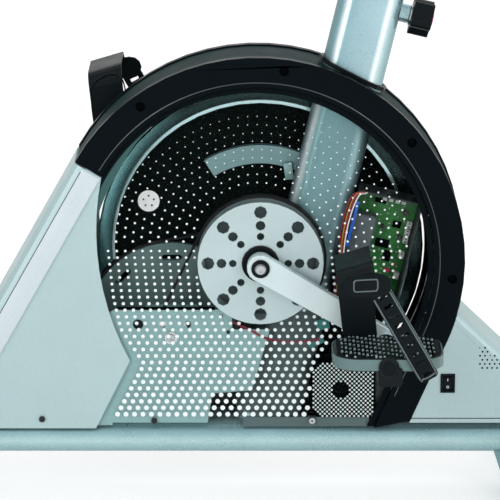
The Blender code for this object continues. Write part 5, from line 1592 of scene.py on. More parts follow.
@dataclass
class Drive:
    """Crank, belts, layshaft and flywheel, with their caps, bolts and inserts."""

    insert_place: Point2 = (-0.1335, 0.055)
    insert_radius: float = 0.013
    insert_dots: float = 0.0065
    flywheel_near: float = 0.0325
    flywheel_far: float = 0.038
    arm_out: float = 0.0778
    spider_out: float = 0.0551

    def build(self) -> None:
        """Dress the drive and add what its solids leave out."""
        dress(AXLE_STEEL, "crank_axle", "layshaft")
        dress(PULLEY, "crank_pulley")
        dress(LAY_PULLEY, "large_pulley")
        dress(GUARD, "guard_disc")
        dress(ALLOY, "left_crank_arm", "right_crank_arm")
        dress(BELT, "first_belt", "second_belt")
        dress(FLY_BLACK, "flywheel_disc")
        # The rim wears painted highlight and painted shade.
        dress(RIM_PAINTED_LIGHT, "flywheel_rim")
        for side in Side:
            self.crank_cap(side)
            self.flywheel_insert(side)
        self.spider_ring()
        self.layshaft_nuts()

    def crank_cap(self, side: Side) -> None:
        """Close the crank arm's eye with a black dust ring round its bolt.

        Args:
            side: the machine's side.
        """
        way = side.way
        place = Vector((CRANK.x, side.value * self.arm_out, CRANK.z))
        rim = [(0.0067, 0.0042), (0.0067, 0.0001), (0.0109, 0.0001), (0.0109, 0.002), (0.0098, 0.0034)]
        add(Forms.lathe(f"{side.word}_dust_ring", rim, 32, Forms.facing(place, way)), BLACK, "crank")
        bolt = [Stud(place + way * 0.0037, way, 0.0062, 12)]
        Small.screws(f"{side.word}_crank_bolt", Recess.SOCKET, bolt, ZINC, "crank")

    def spider_ring(self) -> None:
        """Put the dark stepped ring in the guard disc's opening."""
        rings = [(0.0156, 0.0001), (0.0219, 0.0001), (0.0219, 0.0014), (0.0205, 0.0022), (0.0192, 0.0022),
                 (0.0186, 0.0012), (0.017, 0.0012), (0.0165, 0.0024), (0.0156, 0.0024)]
        place = Vector((CRANK.x, -self.spider_out, CRANK.z))
        add(Forms.lathe("spider_ring", rings, 40, Forms.facing(place, Vector((0, -1, 0)))), BLACK, "crank")

    def flywheel_insert(self, side: Side) -> None:
        """Set the pale balance insert with its five dots in the flywheel's face.

        Args:
            side: the machine's side.
        """
        way = side.way
        face = self.flywheel_near if side is Side.LEFT else self.flywheel_far
        place = beside_crank(self.insert_place[0], face, self.insert_place[1])
        rim, top = self.insert_radius, 0.0006
        plug = [(0, 0.00005), (rim, 0.00005), (rim, 0.0004), (rim - 0.0006, top), (0, top)]
        add(Forms.lathe(f"{side.word}_balance_insert", plug, 36, Forms.facing(place, way)), WHITE_PLASTIC, "flywheel")
        studs = []
        for i in range(5):
            x, z = polar(self.insert_dots, 18 + 72 * i)
            studs.append(Stud(place + Vector((x, 0, z)) + way * (top - 0.0001), way, (0.0012, 0.0012, 0.0003)))
        Small.run(f"{side.word}_insert_dots", Small.dot(), studs, SHADE_AND_MARK_BLACK, "flywheel")

    def layshaft_nuts(self) -> None:
        """Screw a nut on each end of the layshaft."""
        centre = joint_place("intermediate_spin")
        low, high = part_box("layshaft")
        studs = [Stud(Vector((centre.x, low[1] + 0.0004, centre.z)), Vector((0, -1, 0)), 0.0052),
                 Stud(Vector((centre.x, high[1] - 0.0004, centre.z)), Vector((0, 1, 0)), 0.0052)]
        Small.screws("layshaft_nuts", Recess.SOCKET, studs, ZINC, "intermediate_shaft")


@dataclass
class Pedals:
    """Pedals with their treads, side bands and end caps, and the straps' raised details."""

    length: float = 0.127
    width: float = 0.096
    top: float = 0.01
    low: float = -0.006
    corner: float = 0.03
    band: float = 0.0004
    stud: float = 0.0022
    stud_pitch: float = 0.0048
    window_x: Point2 = (0.0165, 0.0535)
    window_y: float = 0.0335
    barrel_end: float = 0.054
    tail_start: Point2 = (-0.016, 0.098)
    tail_end: Point2 = (0.047, -0.013)
    tail_out: float = 0.0535
    tail_half: float = 0.012
    slot_pitch: float = 0.013
    slot_first: float = -0.048
    peg_slot: int = 7
    teeth: int = 42
    tooth_pitch: float = 0.0026
    head_centre: Point2 = (-0.0275, 0.098)

    def build(self) -> None:
        """Dress the pedals and add what their solids leave out."""
        for side in Side:
            dress(PEDAL_BLACK, f"{side.word}_pedal")
            dress(STRAP, f"{side.word}_toe_strap")
            self.tread(side)
            self.side_band(side)
            self.end_cap(side)
            self.tail_ribs(side)
            self.tail_teeth(side)
            self.strap_head(side)
            self.peg(side)

    def body(self, side: Side) -> str:
        """Return the body that a side's pedal belongs to."""
        return f"{side.word}_foot_pedal"

    def centre(self, side: Side) -> Vector:
        """Return the middle of a pedal, on its spindle's axis."""
        return joint_place(f"{side.word}_pedal_spin")

    def tread(self, side: Side) -> None:
        """Bar the platform's windows and cover its top with small grip studs, some of them in a lighter colour that
        paints glints.

        Args:
            side: the machine's side.
        """
        centre = self.centre(side)
        middle = (self.window_x[0] + self.window_x[1]) / 2
        bars = [((way * (middle + step), 0), (0.003, 2 * self.window_y)) for way in (-1, 1)
                for step in (-0.012, -0.004, 0.004, 0.012)]
        bars += [((way * middle, 0.0095 * k), (self.window_x[1] - self.window_x[0], 0.0026)) for way in (-1, 1)
                 for k in range(-3, 4)]
        blocks = [Forms.block("bar", (*size, 0.008), Matrix.Translation(centre + Vector((*spot, 0.005))), 0.0004)
                  for spot, size in bars]
        add(Forms.joined(f"{side.word}_tread_bars", blocks), PEDAL_BLACK, self.body(side))
        runs: dict[str, list[Stud]] = {"dark": [], "bright": []}
        columns, rows = int(self.length / self.stud_pitch / 2), int(self.width / self.stud_pitch / 2)
        for i in range(-columns, columns + 1):
            for k in range(-rows, rows + 1):
                x, y = i * self.stud_pitch, k * self.stud_pitch
                reach = hypot(max(abs(x) - self.length / 2 + self.corner, 0),
                              max(abs(y) - self.width / 2 + self.corner, 0))
                if reach > self.corner - 0.0035 or abs(x) > self.length / 2 - 0.01:
                    continue
                place = centre + Vector((x, y, self.top + self.stud * 0.3))
                # The studs of the bright kind wear the lighter colour, as painted glints.
                kind = "bright" if (i * 5 + k * 3) % 7 in (0, 3, 5) else "dark"
                runs[kind].append(Stud(place, Vector((0, 0, 1)), self.stud, 45 * ((i + k) % 2)))
        for kind, finish in (("dark", PEDAL_BLACK), ("bright", TREAD_HIGHLIGHT)):
            block = Forms.block("tread_shape", (1.0, 1.0, 1.2), bevel=0.18)
            Small.run(f"{side.word}_{kind}_studs", block, runs[kind], finish, self.body(side))

    def side_band(self, side: Side) -> None:
        """Wrap the paler band round the platform's side.

        Args:
            side: the machine's side.
        """
        outer = Forms.rounded(self.length + 2 * self.band, self.width + 2 * self.band, self.corner + self.band, 7)
        inner = Forms.rounded(self.length - 0.0004, self.width - 0.0004, self.corner, 7)
        band = Forms.sleeve(f"{side.word}_pedal_band", outer, inner, self.low + 0.0016, self.top - 0.0012,
                            Matrix.Translation(self.centre(side)))
        add(band, PEDAL_BAND, self.body(side))

    def end_cap(self, side: Side) -> None:
        """Close the barrel's outer end with a stepped dust cap.

        Args:
            side: the machine's side.
        """
        way = side.way
        place = self.centre(side) + way * self.barrel_end
        profile = [(0, 0.0001), (0.0093, 0.0001), (0.0093, 0.0008), (0.008, 0.0014), (0.0068, 0.0014),
                   (0.0062, 0.0008), (0, 0.0008)]
        add(Forms.lathe(f"{side.word}_pedal_cap", profile, 32, Forms.facing(place, way)), BLACK, self.body(side))

    @property
    def tail_way(self) -> Vector:
        """Return the tail's way towards its free end, in the XZ plane."""
        return (Vector(self.tail_end) - Vector(self.tail_start)).normalized()

    def tail_place(self, side: Side, along: float, across: float, out: float = 0.0) -> Vector:
        """Return a place on the strap's tail.

        Args:
            side: the machine's side.
            along: the distance from the tail's middle, towards its free end.
            across: the distance from the tail's centre line, towards the rear.
            out: how far it stands off the tail's face.
        Returns:
            The place in the row frame.
        """
        way = self.tail_way
        flat = (Vector(self.tail_start) + Vector(self.tail_end)) / 2 + way * along + Vector((-way.y, way.x)) * across
        return self.centre(side) + Vector((flat.x, side.value * (self.tail_out + out), flat.y))

    def tail_ribs(self, side: Side) -> None:
        """Raise a rib along each edge of the tail, and one round its end, in a lighter colour that paints their
        highlights.

        Args:
            side: the machine's side.
        """
        edge = self.tail_half - 0.0018
        line = [(-0.05, edge), (0.0, edge), (0.056, edge), (0.0595, edge - 0.003), (0.0605, 0.0),
                (0.0595, 0.003 - edge), (0.056, -edge), (0.0, -edge), (-0.05, -edge)]
        places = [self.tail_place(side, along, across, 0.0001) for along, across in line]
        Small.tube(f"{side.word}_tail_ribs", places, 0.001, STRAP_HIGHLIGHT, 0.003, self.body(side))

    def tail_teeth(self, side: Side) -> None:
        """Cut the ladder of fine teeth along the tail's rear edge, in a lighter colour that paints their glints.

        Args:
            side: the machine's side.
        """
        turn = degrees(atan2(self.tail_way.y, self.tail_way.x))
        block = Forms.block("tooth_shape", (1.0, 0.5, 1.0), bevel=0.1)
        studs = []
        for i in range(self.teeth):
            place = self.tail_place(side, -0.05 + self.tooth_pitch * i, self.tail_half + 0.0001, -0.0016)
            studs.append(Stud(place, side.way, (0.0014, 0.0016, 0.0032), -turn * side.value))
        Small.run(f"{side.word}_tail_teeth", block, studs, TOOTH_HIGHLIGHT, self.body(side))

    def strap_head(self, side: Side) -> None:
        """Frame the plain panel on the strap's head and run a rib along the strap's leg.

        Args:
            side: the machine's side.
        """
        centre = self.centre(side) + Vector((self.head_centre[0], side.value * (self.tail_out + 0.0001),
                                             self.head_centre[1]))
        outline = Forms.rounded(0.027, 0.0135, 0.003, 3)
        places = [centre + Vector((x, 0, z + 0.06 * x)) for x, z in outline]
        # The head's frame wears the painted highlight colour.
        Small.tube(f"{side.word}_head_frame", places, 0.0009, STRAP_HIGHLIGHT, 0.002, self.body(side), ring=True)
        leg = [Vector((-0.0465, 0, 0.004)), Vector((-0.056, 0, 0.094)), Vector((-0.019, 0, 0.104)),
               Vector((-0.0125, 0, 0.004))]
        inner = -side.value * 0.0522
        ribs = [self.centre(side) + point + Vector((0, inner, 0)) for point in leg]
        Small.tube(f"{side.word}_leg_rib", ribs, 0.0009, STRAP, 0.003, self.body(side))

    def peg(self, side: Side) -> None:
        """Hook the tail over its peg on the pedal.

        Args:
            side: the machine's side.
        """
        place = self.tail_place(side, self.slot_first + self.peg_slot * self.slot_pitch, 0.0, 0.0004)
        turned = leaned(place, -degrees(atan2(self.tail_way.y, self.tail_way.x)))
        mesh = Forms.block(f"{side.word}_strap_peg", (0.0062, 0.003, 0.01), turned, 0.0008)
        add(mesh, BLACK, self.body(side))


@dataclass
class Electronics:
    """Control tray, brake magnet, fan and drive bracket, with their parts, wires and screws."""

    lean: float = 13.4
    tray: Point2 = (0.1395, 0.014)
    board_face: float = 0.0047

    def build(self) -> None:
        """Dress the electronics and add what their solids leave out."""
        dress(SHEET, "drive_bracket")
        dress(MAGNET, "brake_magnet")
        dress(TRAY_GREY, "control_tray")
        dress(BOARD, "circuit_board")
        dress(BLOCK_GREY, "power_block")
        dress(INNER_BLACK, "fan_housing", "fan_rotor")
        self.connectors()
        self.chips()
        self.capacitors()
        self.tray_wires()
        self.bracket_wires()
        self.plugs()
        self.bracket_trim()
        self.inner_panels()
        self.tray_screws()

    def on_board(self, across: float, up: float, out: float) -> Vector:
        """Return a place over the board, from the tray's middle.

        Args:
            across: the distance across it.
            up: the distance up it.
            out: the height over it.
        Returns:
            The place in the row frame.
        """
        lean = radians(self.lean)
        x = self.tray[0] + across * cos(lean) + up * sin(lean)
        z = self.tray[1] - across * sin(lean) + up * cos(lean)
        return beside_crank(x, self.board_face - out, z)

    def part(self, across: float, up: float, size: Sequence[float]) -> Mesh:
        """Make a block that stands on the board, its size across, out and up."""
        turned = leaned(self.on_board(across, up, size[1] / 2 + 0.00005), self.lean)
        return Forms.block("part", size, turned, 0.0004)

    def connectors(self) -> None:
        """Stand the pale connectors along the board's rear and top edges."""
        column = [self.part(0.0315, up, (0.006, 0.009, 0.0078)) for up in (0.028, 0.0185, 0.009, -0.01, -0.036)]
        row = [self.part(across, 0.054, (0.0052, 0.0085, 0.0068)) for across in (-0.004, 0.0035, 0.0115, 0.019)]
        # Black blocks on the connectors' faces are painted shade in their slots.
        pins = [self.part(0.0315, up + step, (0.0022, 0.0102, 0.001)) for up in (0.028, 0.0185, 0.009, -0.01)
                for step in (-0.002, 0.002)]
        add(Forms.joined("board_connectors", column + row), CONNECTOR)
        add(Forms.joined("connector_slots", pins), INNER_BLACK)

    def chips(self) -> None:
        """Lay the dark chips, the coloured parts and the fine passive parts on the board."""
        dark = [self.part(*spot) for spot in ((0.0175, 0.024, (0.01, 0.0026, 0.008)),
                                              (0.006, -0.002, (0.016, 0.003, 0.01)),
                                              (0.015, -0.016, (0.009, 0.0024, 0.013)),
                                              (-0.008, 0.048, (0.013, 0.004, 0.005)),
                                              (0.008, -0.046, (0.026, 0.006, 0.011)))]
        add(Forms.joined("board_chips", dark), INNER_BLACK)
        red = [self.part(0.0194, -0.0326, (0.007, 0.006, 0.0042)), self.part(0.0262, -0.024, (0.0022, 0.003, 0.003))]
        add(Forms.joined("red_relays", red), RED)
        shape = Forms.block("passive_shape", (1.0, 1.0, 1.0), bevel=0.12)
        studs = []
        for i in range(9):
            for k in range(15):
                across, up = -0.004 + 0.0042 * i, -0.056 + 0.008 * k + 0.0025 * ((i * 5 + k * 3) % 4 - 1.5) / 1.5
                if (i * 7 + k * 11) % 5 < 2:
                    studs.append(Stud(self.on_board(across, up, 0.0006), Vector((0, -1, 0)),
                                      (0.0011, 0.0024, 0.001), 90 * ((i + k) % 2) - self.lean))
        Small.run("passive_parts", shape, studs, PALE_PRINT)

    def capacitors(self) -> None:
        """Stand the round capacitors between the chips."""
        profile = [(0, 0), (1, 0), (1, 1.5), (0.9, 1.7), (0.9, 1.8), (0, 1.8)]
        shape = Forms.lathe("can_shape", profile, 16)
        spots = ((0.024, 0.04, 0.0032), (0.024, 0.01, 0.0028), (0.002, 0.018, 0.0026),
                 (0.023, -0.048, 0.004), (-0.025, -0.035, 0.0048), (-0.012, -0.033, 0.004))
        studs = [Stud(self.on_board(across, up, 0.0), Vector((0, -1, 0)), size) for across, up, size in spots]
        Small.run("board_capacitors", shape, studs, CAN)

    def tray_wires(self) -> None:
        """Run the coloured wires down between the seat tube and the tray."""
        line = ((0.1085, 0.077), (0.1, 0.055), (0.0947, 0.027), (0.0924, -0.001), (0.0885, -0.032),
                (0.0832, -0.06), (0.078, -0.07))
        for name, finish, shift, out in (("red", RED_WIRE, 0.0, 0.029), ("yellow", YELLOW_WIRE, 0.002, 0.0305),
                                         ("white", WHITE_PLASTIC, 0.005, 0.0325), ("brown", RED_WIRE, 0.0034, 0.0318)):
            places = [self.on_board(-0.03 + shift, 0.058, 0.012), self.on_board(-0.0345 + shift, 0.061, 0.0375)]
            places += [beside_crank(x + shift * (1 + 6 * abs(z)), -out, z) for x, z in line]
            Small.tube(f"{name}_tray_wire", places, 0.0008, finish, 0.004)
        turned = leaned(self.on_board(-0.0368, 0.021, 0.0372), self.lean)
        add(Forms.block("blue_ribbon", (0.0036, 0.001, 0.056), turned, 0.0003), BLUE_WIRE)

    def bracket_wires(self) -> None:
        """Run the red pair from the bracket's pad to the plugs."""
        line = ((-0.0324, -0.0746), (-0.0124, -0.0843), (0.0088, -0.0953), (0.0347, -0.0989), (0.0606, -0.0977),
                (0.07, -0.095))
        for name, lift in (("upper", 0.0), ("lower", -0.0017)):
            places = [beside_crank(x, -0.0392, z + lift) for x, z in line]
            Small.tube(f"{name}_brake_wire", places, 0.0006, RED_WIRE, 0.004)

    def plugs(self) -> None:
        """Hang the teal plugs where the wires meet."""
        spots = ((0.074, -0.079, 0.015, 0.013, 10), (0.066, -0.101, 0.019, 0.008, 25))
        blocks = []
        for x, z, wide, high, tilt in spots:
            turned = leaned(beside_crank(x, -0.0345, z), -tilt)
            blocks.append(Forms.block("plug", (wide, 0.006, high), turned, 0.0008))
        add(Forms.joined("wire_plugs", blocks), TEAL)

    def bracket_trim(self) -> None:
        """Seal the bracket's top edge, and screw its small pad down."""
        seal = Forms.block("bracket_seal", (0.116, 0.003, 0.0034),
                           Matrix.Translation(beside_crank(-0.1118, -0.0377, -0.059)), 0.0004)
        add(seal, INNER_BLACK)
        pad = Forms.block("bracket_pad", (0.0236, 0.0006, 0.03),
                          Matrix.Translation(beside_crank(-0.0453, -0.0386, -0.0752)), 0.0002)
        add(pad, SHEET)
        spots = ((-0.0465, -0.0684), (-0.0382, -0.0878))
        studs = [Stud(beside_crank(x, -0.0388, z), Vector((0, -1, 0)), 0.0023) for x, z in spots]
        Small.screws("bracket_screws", Recess.CROSS, studs, SCREW_BLACK)

    def inner_panels(self) -> None:
        """Close the housing's low corners with dark panels, and back the fan with a black plate of painted shade."""
        sump = [(-0.064, -0.203), (0.076, -0.203), (0.076, -0.156), (-0.056, -0.169)]
        side = [(0.1375, -0.196), (0.152, -0.1625), (0.164, -0.118), (0.1375, -0.118)]
        meshes = [Forms.prism("sump", sump, -0.0235, -0.022, upright(Side.LEFT)),
                  Forms.prism("corner", side, 0.0335, 0.035, upright(Side.LEFT))]
        add(Forms.joined("inner_panels", meshes), TRAY_GREY)
        back = [(0.056, -0.203), (0.1345, -0.203), (0.148, -0.17), (0.148, -0.124), (0.064, -0.124)]
        plate("fan_bulkhead", back, 0.009, 0.0108, Side.LEFT, SHADE_AND_MARK_BLACK)
        sill = [(-0.02, -0.2045), (0.13, -0.2045), (0.13, -0.193), (-0.02, -0.193)]
        plate("window_sill", sill, 0.0387, 0.0397, Side.LEFT, SHADE_AND_SILL_GREY)
        foot = [(-0.2, -0.2035), (-0.1765, -0.2035), (-0.1765, -0.148), (-0.2, -0.148)]
        plate("window_foot", foot, 0.0374, 0.0384, Side.LEFT, SHEET)
        tab = [(0.03, 0.085), (0.04, 0.086), (0.037, 0.106), (0.027, 0.105)]
        plate("magnet_tab", tab, -0.02, -0.014, Side.LEFT, SHEET, 0.0005)

    def tray_screws(self) -> None:
        """Screw the board down at its corners."""
        spots = ((-0.0325, 0.057), (0.03, 0.059), (-0.032, -0.057), (0.03, -0.057))
        studs = [Stud(self.on_board(across, up, 0.0), Vector((0, -1, 0)), 0.0024, 30) for across, up in spots]
        Small.screws("board_screws", Recess.CROSS, studs, ZINC)


@dataclass
class SeatColumn:
    """Seat tube, its knob and the seat post, with welds, marks and the knob's cap."""

    lean: float = 13.4
    tube_x: float = 0.056
    rail_top: float = -0.2005
    post_depth: float = 0.0155
    knob_end: float = 0.0745
    marks: int = 18
    mark_start: float = 0.372
    mark_pitch: float = 0.01

    def build(self) -> None:
        """Dress the seat column and add what its solids leave out."""
        dress(SILVER, "seat_tube")
        dress(BLACK, "seat_tube_collar", "seat_tube_sleeve", "seat_knob")
        dress(ALLOY, "saddle_clamp")
        dress(STEEL, "seat_post")
        self.knob_cap()
        self.post_marks()
        foot = self.axis(self.rail_top / cos(radians(self.lean)))
        self.foot_weld("seat_tube_weld", foot)
        self.shroud()
        self.clamp_bolts()

    def axis(self, along: float, across: float = 0.0) -> Vector:
        """Return a place along the leaning column, from the crank's height.

        Args:
            along: the distance up the column.
            across: the distance to its rear.
        Returns:
            The place in the row frame.
        """
        lean = radians(self.lean)
        return beside_crank(self.tube_x + along * sin(lean) + across * cos(lean), 0,
                            along * cos(lean) - across * sin(lean))

    def shroud(self) -> None:
        """Sleeve the tube's foot in a dark grey sleeve of painted shade, seen under the guard disc, and wrap the tube
        in smooth skins.
        """
        lean = leaned(self.axis(0), self.lean)
        outer, inner = Forms.rounded(0.079, 0.0436, 0.0215, 6), Forms.rounded(0.0764, 0.041, 0.0202, 6)
        add(Forms.sleeve("tube_shroud", outer, inner, -0.204, -0.056, lean), SHADE_AND_SILL_GREY)
        # The skins' bands are painted highlight and shade; the lower skin is painted shade inside the housing.
        for name, low, high, finish in (("upper_tube_skin", 0.218, 0.344, TUBE_PAINTED_LIGHT),
                                        ("lower_tube_skin", -0.056, 0.218, SHADED_TUBE)):
            add(Forms.oval_skin(name, 0.075, 0.04, low, high, lean), finish)

    def knob_cap(self) -> None:
        """Set the red cap in the knob and the bright washer behind it."""
        axis = Vector(next(joint for joint in frame["joints"] if joint["name"] == "post_knob_turn")["axis"])
        hub = joint_place("post_knob_turn")
        cap = [(0, 0.0001), (0.0098, 0.0001), (0.0098, 0.0006), (0.0086, 0.0016), (0, 0.0019)]
        add(Forms.lathe("knob_cap", cap, 32, Forms.facing(hub + axis * self.knob_end, axis)), RED, "post_knob")
        washer = [(0.0046, 0.0), (0.0125, 0.0), (0.0125, 0.0016), (0.0046, 0.0016)]
        add(Forms.lathe("knob_washer", washer, 28, Forms.facing(hub + axis * 0.0483, axis)), ZINC, "post_knob")

    def post_marks(self) -> None:
        """Etch the plain height marks into the seat post's near side."""
        shape = Forms.block("mark_shape", (1.0, 1.0, 1.0), bevel=0.05)
        studs = []
        for i in range(self.marks):
            wide = 0.012 if i % 5 == 0 else 0.007
            for side in Side:
                out = Vector((0, side.value * (self.post_depth + 0.00005), 0))
                place = self.axis(self.mark_start + self.mark_pitch * i) + out
                studs.append(Stud(place, side.way, (wide, 0.0007, 0.0001), self.lean * side.value))
        Small.run("post_marks", shape, studs, SHADE_AND_MARK_BLACK, "post")

    def foot_weld(self, name: str, foot: Vector) -> None:
        """Lay a weld of small beads round the foot of a flat-oval tube on the rail.

        Args:
            name: the piece's name.
            foot: the middle of the tube's foot on the rail.
        """
        outline = [foot + Vector((x, y, 0.0006)) for x, y in Forms.rounded(0.0782, 0.041, 0.0203, 9)]
        studs = [Stud(place, way, (0.0018, 0.0018, 0.004)) for place, way in Small.spaced(outline, 0.003)]
        Small.run(name, Small.bead(), studs, SILVER)

    def clamp_bolts(self) -> None:
        """Bolt the saddle's clamp through the post's head."""
        place = joint_place("saddle_tilt")
        studs = [Stud(place + Vector((0, side.value * 0.0224, 0)), side.way, 0.0072, 15) for side in Side]
        Small.screws("clamp_bolts", Recess.SOCKET, studs, ZINC, "clamp")


@dataclass
class Saddle:
    """Saddle with its rails and pan, and the vinyl pad that is blown up over its foam."""

    voxel: float = 0.005
    shrink: float = 0.0035
    swell: float = 0.006
    channel_depth: float = 0.0035
    channel_half: float = 0.011
    seam_out: float = 0.03
    seam_spread: float = 0.1
    seam_half: float = 0.003
    seam_depth: float = 0.0014
    line_steps: int = 120
    pressure: float = 4.0
    frames: int = 20

    def build(self) -> None:
        """Dress the saddle and replace its pad."""
        dress(STEEL, "saddle_rails")
        dress(BLACK, "saddle_pan")
        self.piping(self.pad())

    def core(self) -> Object:
        """Make the slightly smaller, evenly meshed core that the skin swells from.

        Returns:
            The core, which is not kept.
        """
        source = frame["nodes"]["saddle_pad"]
        work = bmesh.new()
        work.from_mesh(source.data)
        bmesh.ops.remove_doubles(work, verts=work.verts, dist=1e-5)
        bmesh.ops.recalc_face_normals(work, faces=work.faces)
        low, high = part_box("saddle_pad")
        middle = Vector(((low[0] + high[0]) / 2, 0, low[2]))
        half = Vector(((high[0] - low[0]) / 2, high[1], high[2] - low[2]))
        for vertex in work.verts:
            away = vertex.co - middle
            vertex.co = middle + Vector((away.x * (1 - self.shrink / half.x), away.y * (1 - self.shrink / half.y),
                                         away.z * (1 - self.shrink / half.z)))
        mesh = bpy.data.meshes.new("vinyl_pad")
        work.to_mesh(mesh)
        work.free()
        pad = placed("vinyl_pad", mesh)
        remesh = pad.modifiers.new("even", "REMESH")
        remesh.mode = "VOXEL"
        remesh.voxel_size = self.voxel
        self.apply(pad)
        return pad

    def apply(self, piece: Object) -> None:
        """Turn a piece's modifiers into its plain mesh.

        Args:
            piece: the piece.
        """
        made = evaluated(piece)
        piece.modifiers.clear()
        old = piece.data
        piece.data = made
        bpy.data.meshes.remove(old)

    def inflate(self, pad: Object) -> None:
        """Blow the skin up with the Cloth solver, its underside held, and cap how far it moves.

        Args:
            pad: the vinyl pad.
        """
        before = [vertex.co.copy() for vertex in pad.data.vertices]
        floor = min(place.z for place in before)
        held = pad.vertex_groups.new(name="held")
        held.add([i for i, place in enumerate(before) if place.z < floor + self.voxel * 0.8], 1.0, "REPLACE")
        cloth = pad.modifiers.new("skin", "CLOTH")
        cloth.settings.vertex_group_mass = "held"
        cloth.settings.use_pressure = True
        cloth.settings.uniform_pressure_force = self.pressure
        cloth.settings.effector_weights.gravity = 0
        cloth.point_cache.frame_start, cloth.point_cache.frame_end = 1, self.frames
        for step in range(1, self.frames + 1):
            bpy.context.scene.frame_set(step)
        self.apply(pad)
        for vertex, place in zip(pad.data.vertices, before):
            moved = vertex.co - place
            if moved.length > self.swell:
                vertex.co = place + moved.normalized() * self.swell
        bpy.context.scene.frame_set(1)

    def press_channel(self, pad: Object) -> None:
        """Press the relief channel along the middle and the sewn lines beside it.

        Args:
            pad: the vinyl pad.
        """
        low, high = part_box("saddle_pad")
        for vertex in pad.data.vertices:
            x, y, z = vertex.co
            share = min(max((z - low[2]) / (high[2] - low[2]) * 2 - 1, 0), 1)
            along = min(max((x - low[0] - 0.03) / 0.03, 0), 1) * min(max((high[0] - 0.02 - x) / 0.03, 0), 1)
            groove = exp(-(y / self.channel_half) ** 2) * self.channel_depth
            aside = abs(y) - self.seam_out - self.seam_spread * (x - low[0])
            seam = exp(-(aside / self.seam_half) ** 2) * self.seam_depth
            vertex.co.z = min(z - (groove + seam) * share * along, high[2] + 0.002)

    def pad(self) -> Object:
        """Make the vinyl pad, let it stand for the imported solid, and return it.

        Returns:
            The vinyl pad.
        """
        pad = self.core()
        self.inflate(pad)
        self.press_channel(pad)
        pad.data.materials.clear()
        pad.data.materials.append(SEAT_VINYL.material())
        pad.data.shade_smooth()
        finer = pad.modifiers.new("finer", "SUBSURF")
        finer.levels = finer.render_levels = 1
        pad.vertex_groups.clear()
        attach(pad, "saddle")
        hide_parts("saddle_pad")
        LOG.info("vinyl_pad stands for saddle_pad in %s", SEAT_VINYL.name)
        return pad

    def skin_line(self, skin: BVHTree, lift: float) -> list[Vector]:
        """Return a level line round the pad's skin.

        Args:
            skin: the pad's faces, for a search by rays.
            lift: the line's height above the pad's underside.
        Returns:
            The line's places, in order.
        """
        low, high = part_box("saddle_pad")
        middle = Vector(((low[0] + high[0]) / 2, 0, low[2] + lift))
        places = []
        for i in range(self.line_steps):
            phase = tau * i / self.line_steps
            away = Vector((cos(phase), sin(phase) * 0.6, 0)).normalized()
            start = middle + Vector((0.25 * cos(phase), 0.15 * sin(phase), 0))
            hit = skin.ray_cast(start, (middle + Vector((0.1 * cos(phase), 0, 0)) - start).normalized())[0]
            if hit:
                places.append(hit + away * 0.0002)
        return places

    def piping(self, pad: Object) -> None:
        """Sew the piping round the pad's side, with a row of stitches over it.

        Args:
            pad: the vinyl pad.
        """
        work = bmesh.new()
        work.from_mesh(pad.data)
        skin = BVHTree.FromBMesh(work)
        work.free()
        Small.tube("saddle_piping", self.skin_line(skin, 0.013), 0.0017, RUBBER, 0.004, "saddle", ring=True)
        stitch = Forms.lathe("stitch_shape", [(0, -0.5), (0.7, -0.42), (1, 0), (0.7, 0.42), (0, 0.5)], 6)
        studs = [Stud(place, way, (0.0005, 0.0005, 0.003))
                 for place, way in Small.spaced(self.skin_line(skin, 0.0185), 0.0042)]
        Small.run("saddle_stitches", stitch, studs, RUBBER, "saddle")


